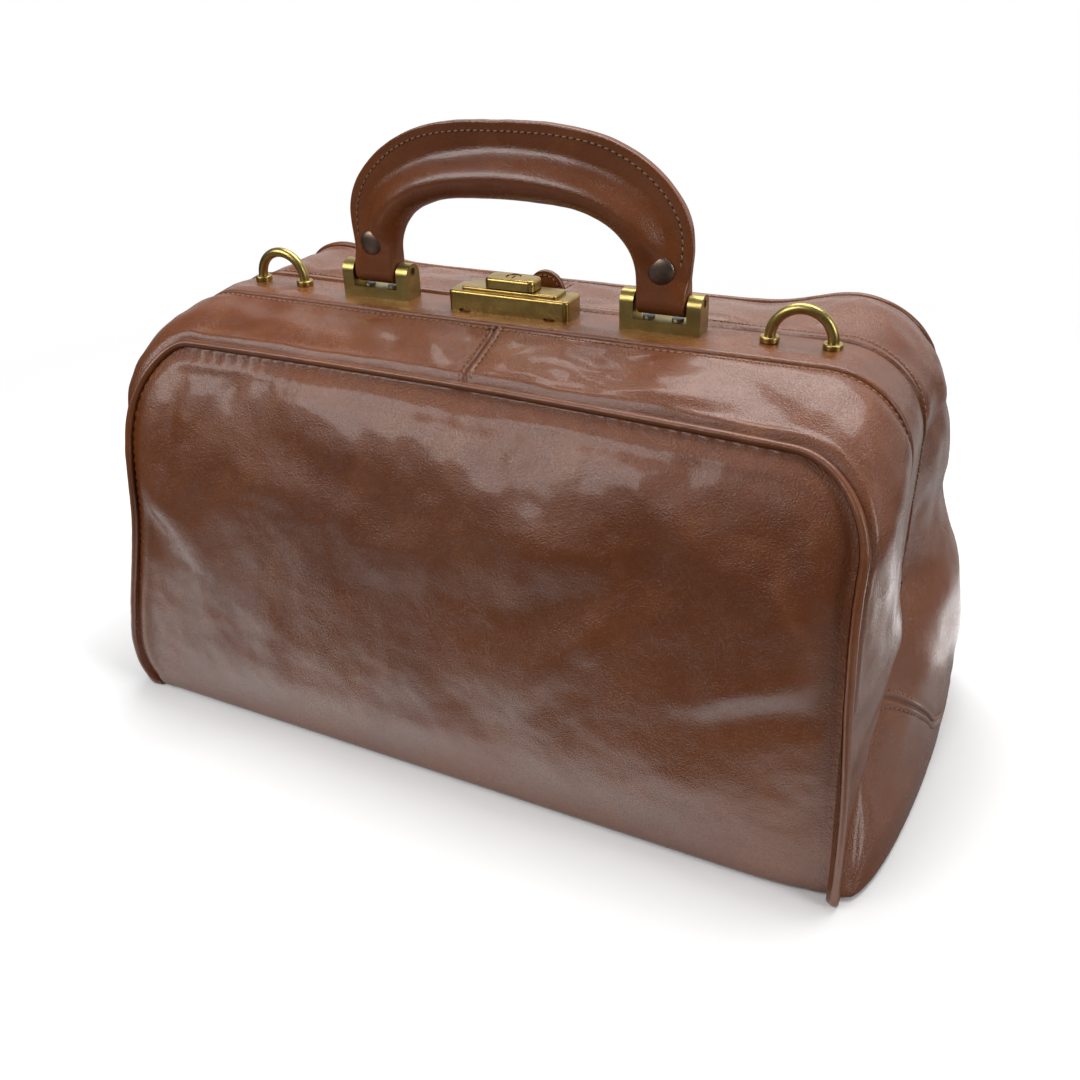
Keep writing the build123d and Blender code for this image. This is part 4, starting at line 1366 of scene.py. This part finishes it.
def build_pull_tab():
    low, high = (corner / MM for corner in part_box("pull_tab"))
    middle_x, half = (low.x + high.x) / 2, (high.x - low.x) / 2
    rise = np.linspace(0, 1, 22)
    across = np.sin(np.linspace(-np.pi / 2, np.pi / 2, 25))
    top = high.z - half + half * np.sqrt(1 - across ** 2)
    z = low.z + (top[None, :] - low.z) * rise[:, None]
    x = np.tile(middle_x + half * across, (22, 1))
    y = low.y + 0.1 + 0.5 * (1 - across[None] ** 2) * np.sin(rise * np.pi)[:, None]
    points = np.stack([x, y, z], -1)
    tab = shell("pull_tab_leather", points, high.y - low.y - 0.2, PIPING_LEATHER, np.array([0, -1.0, 0]))
    stand_in(tab, "piping_leather", "pull_tab")
    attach(tab, "rear_frame")
    a = np.linspace(0, np.pi, 40)
    inner = half - 2.0
    arch = np.stack([middle_x + inner * np.cos(a), np.full(40, low.y), high.z - half + inner * np.sin(a)], 1)
    rows = []
    for face, y in ((-1, low.y + 0.1), (1, high.y)):
        arch[:, 1] = y
        rows.append(stitches("tab_row", arch, (0, face, 0), THREAD, step=2.6, sink=0.1))
    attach(join("pull_tab_stitches", rows), "rear_frame")


build_pull_tab()


# CAD pieces that stay -------------------------------------------------------

def dress(node, material, bevel=0.0):
    """Gives a CAD piece its material and, where it is sharp metal, softened edges."""
    obj = frame["nodes"][node]
    obj.data.materials.clear()
    obj.data.materials.append(material)
    if bevel:
        modifier = obj.modifiers.new("soft_edges", "BEVEL")
        modifier.width = bevel * MM
        modifier.segments = 3
        modifier.limit_method = "ANGLE"
        modifier.angle_limit = math.radians(35)
        modifier.harden_normals = True


slots = {row["node"]: row["material_slot"] for row in frame["record"]["subparts"]}
looks = {
    "body_leather": BODY_LEATHER, "piping_leather": PIPING_LEATHER, "handle_leather": HANDLE_LEATHER,
    "padding": PADDING, "lining_cloth": LINING, "board": BOARD, "steel": STEEL, "antique_brass": BRASS,
    "dark_bronze": BRONZE,
}
for node, slot_name in slots.items():
    dress(node, looks[slot_name])
for node in slots:
    if node.endswith(("_bracket", "_strap_loop", "_collars")):
        dress(node, LOOP_BRASS, bevel=0.4)
    if node.endswith(("_handle_pin", "_handle_tang")):
        dress(node, BRONZE)


# Studio ---------------------------------------------------------------------

def plane(name, half, level, material):
    """A level square of the studio, in metres."""
    mesh = bpy.data.meshes.new(name)
    corners = [(-half, -half, level), (half, -half, level), (half, half, level), (-half, half, level)]
    mesh.from_pydata(corners, [], [(0, 1, 2, 3)])
    mesh.materials.append(material)
    obj = add_object(name, mesh)
    return obj


def seen_only_by(obj, *kinds):
    """Limits a studio piece to some kinds of ray."""
    for kind in ("camera", "diffuse", "glossy", "transmission", "volume_scatter", "shadow"):
        setattr(obj, "visible_" + kind, kind in kinds)


def build_floor():
    """A wide plain pale floor: the part that is seen, and a greyer one that throws light back up."""
    for name, shade, level, kinds in (
        ("floor", 0.86, -0.0004, ("camera", "shadow", "transmission")),
        ("floor_bounce", 0.42, -0.0005, ("diffuse",)),
    ):
        n = Nodes(name)
        seen_only_by(plane(name, 14.0, level, n.finish((shade, shade, shade), 0.7)), *kinds)


def build_shine_card():
    """What the leather mirrors of the floor: bright close to the bag and beside it, dark further out."""
    n = Nodes("shine_card")
    split = n.add("ShaderNodeSeparateXYZ", {"Vector": n.place})
    out = n.maths("ABSOLUTE", split.outputs["Y"], 0.0)
    along = n.maths("ABSOLUTE", split.outputs["X"], 0.0)
    # strength falls to a tenth within 0.1 m of the middle line: painted contact shadow in the floor that the
    # leather mirrors
    near = n.maths("MULTIPLY", n.ramp(out, 0.100, 0.120, 0.1, 1.0), n.ramp(out, 0.150, 0.224, 1.0, 0.04))
    end = n.ramp(along, 0.30, 0.40, 1.0, 0.0)
    beside = n.maths("MULTIPLY", n.ramp(along, 0.23, 0.30, 0.0, 0.27), n.ramp(along, 0.42, 0.62, 1.0, 0.1))
    strength = n.maths("MULTIPLY", n.maths("ADD", n.maths("MULTIPLY", near, end), beside), 2.3)
    n.emit(n.add("ShaderNodeEmission", {"Strength": strength}))
    seen_only_by(plane("shine_card", 3.0, -0.0003, n.material), "glossy")


def build_sweep():
    """A white studio sweep all round, which only the camera sees."""
    radii = (0.4, 0.6, 1.0, 3.0, 6.0, 8.0, 9.0, 9.0)
    heights = (0.001, 0.001, 0.001, 0.001, 0.001, 0.6, 2.0, 12.0)
    turns = 64
    a = np.linspace(0, 2 * np.pi, turns, endpoint=False)
    rings = [np.stack([r * np.cos(a), r * np.sin(a), np.full(turns, z)], 1) for r, z in zip(radii, heights)]
    n = Nodes("sweep")
    faces = grid_faces(len(radii), turns, wrap=True)
    sweep = mesh_object("sweep", np.concatenate(rings) / MM, faces, n.material)
    distance = n.add("ShaderNodeVectorMath", {0: n.place}, operation="LENGTH").outputs["Value"]
    white = n.add("ShaderNodeEmission", {"Strength": 1.0})
    clear = n.add("ShaderNodeBsdfTransparent")
    far = n.ramp(distance, 0.42, 0.8)
    n.emit(n.add("ShaderNodeMixShader", {0: far, 1: clear.outputs[0], 2: white.outputs[0]}))
    seen_only_by(sweep, "camera")


def area_light(name, place, target, size, power):
    """A soft light that points at a target."""
    data = bpy.data.lights.new(name, "AREA")
    data.shape = "RECTANGLE"
    data.size, data.size_y = size
    data.energy = power
    obj = add_object(name, data)
    obj.location = place
    direction = Vector(target) - Vector(place)
    obj.rotation_euler = direction.to_track_quat("-Z", "Y").to_euler()


def build_world():
    """A studio that is white behind and above the bag and darker at the height of the horizon in front."""
    world = bpy.data.worlds.new("studio")
    bpy.context.scene.world = world
    world.use_nodes = True
    tree = world.node_tree
    place = tree.nodes.new("ShaderNodeTexCoord")
    split = tree.nodes.new("ShaderNodeSeparateXYZ")
    tree.links.new(place.outputs["Generated"], split.inputs[0])

    def ramp(socket, low, high, start, end):
        node = tree.nodes.new("ShaderNodeMapRange")
        node.interpolation_type = "SMOOTHSTEP"
        for key, value in (("From Min", low), ("From Max", high), ("To Min", start), ("To Max", end)):
            node.inputs[key].default_value = value
        tree.links.new(socket, node.inputs["Value"])
        return node.outputs[0]

    height = ramp(split.outputs["Z"], 0.2, 0.8, 0.04, 0.27)
    behind = ramp(split.outputs["Y"], 0.1, 0.9, 0.0, 0.9)
    most = tree.nodes.new("ShaderNodeMath")
    most.operation = "MAXIMUM"
    tree.links.new(height, most.inputs[0])
    tree.links.new(behind, most.inputs[1])
    tree.links.new(most.outputs[0], tree.nodes["Background"].inputs["Strength"])
    tree.nodes["Background"].inputs["Color"].default_value = (1, 1, 1, 1)


def build_lights():
    area_light("key", (-0.85, -1.15, 1.15), (0, 0, 0.1), (1.1, 0.7), 18)
    area_light("top", (0.05, 0.30, 1.05), (0, 0.05, 0), (1.0, 0.5), 12)
    area_light("side", (1.5, -0.3, 0.7), (0, 0, 0.1), (0.4, 0.8), 9)


CAMERA = {
    "azimuth": 26.64, "elevation": 29.01, "roll": -2.13,
    "place": (223.6, -433.3, 373.7), "lens": 34.39, "shift": (0.0059, -0.0293),
}


def build_camera():
    az, el, roll = (math.radians(CAMERA[k]) for k in ("azimuth", "elevation", "roll"))
    ahead = Vector((-math.sin(az) * math.cos(el), math.cos(az) * math.cos(el), -math.sin(el)))
    level = Vector((math.cos(az), math.sin(az), 0))
    rise = level.cross(ahead)
    right = level * math.cos(roll) + rise * math.sin(roll)
    up = rise * math.cos(roll) - level * math.sin(roll)
    data = bpy.data.cameras.new("camera")
    data.lens = CAMERA["lens"]
    data.shift_x, data.shift_y = CAMERA["shift"]
    data.clip_start = 0.01
    camera = add_object("camera", data)
    turn = Matrix((right, up, -ahead)).transposed().to_4x4()
    camera.matrix_world = Matrix.Translation(Vector(CAMERA["place"]) * MM) @ turn
    bpy.context.scene.camera = camera


build_floor()
build_shine_card()
build_sweep()
build_world()
build_lights()
build_camera()
bpy.context.scene.view_settings.view_transform = "Standard"
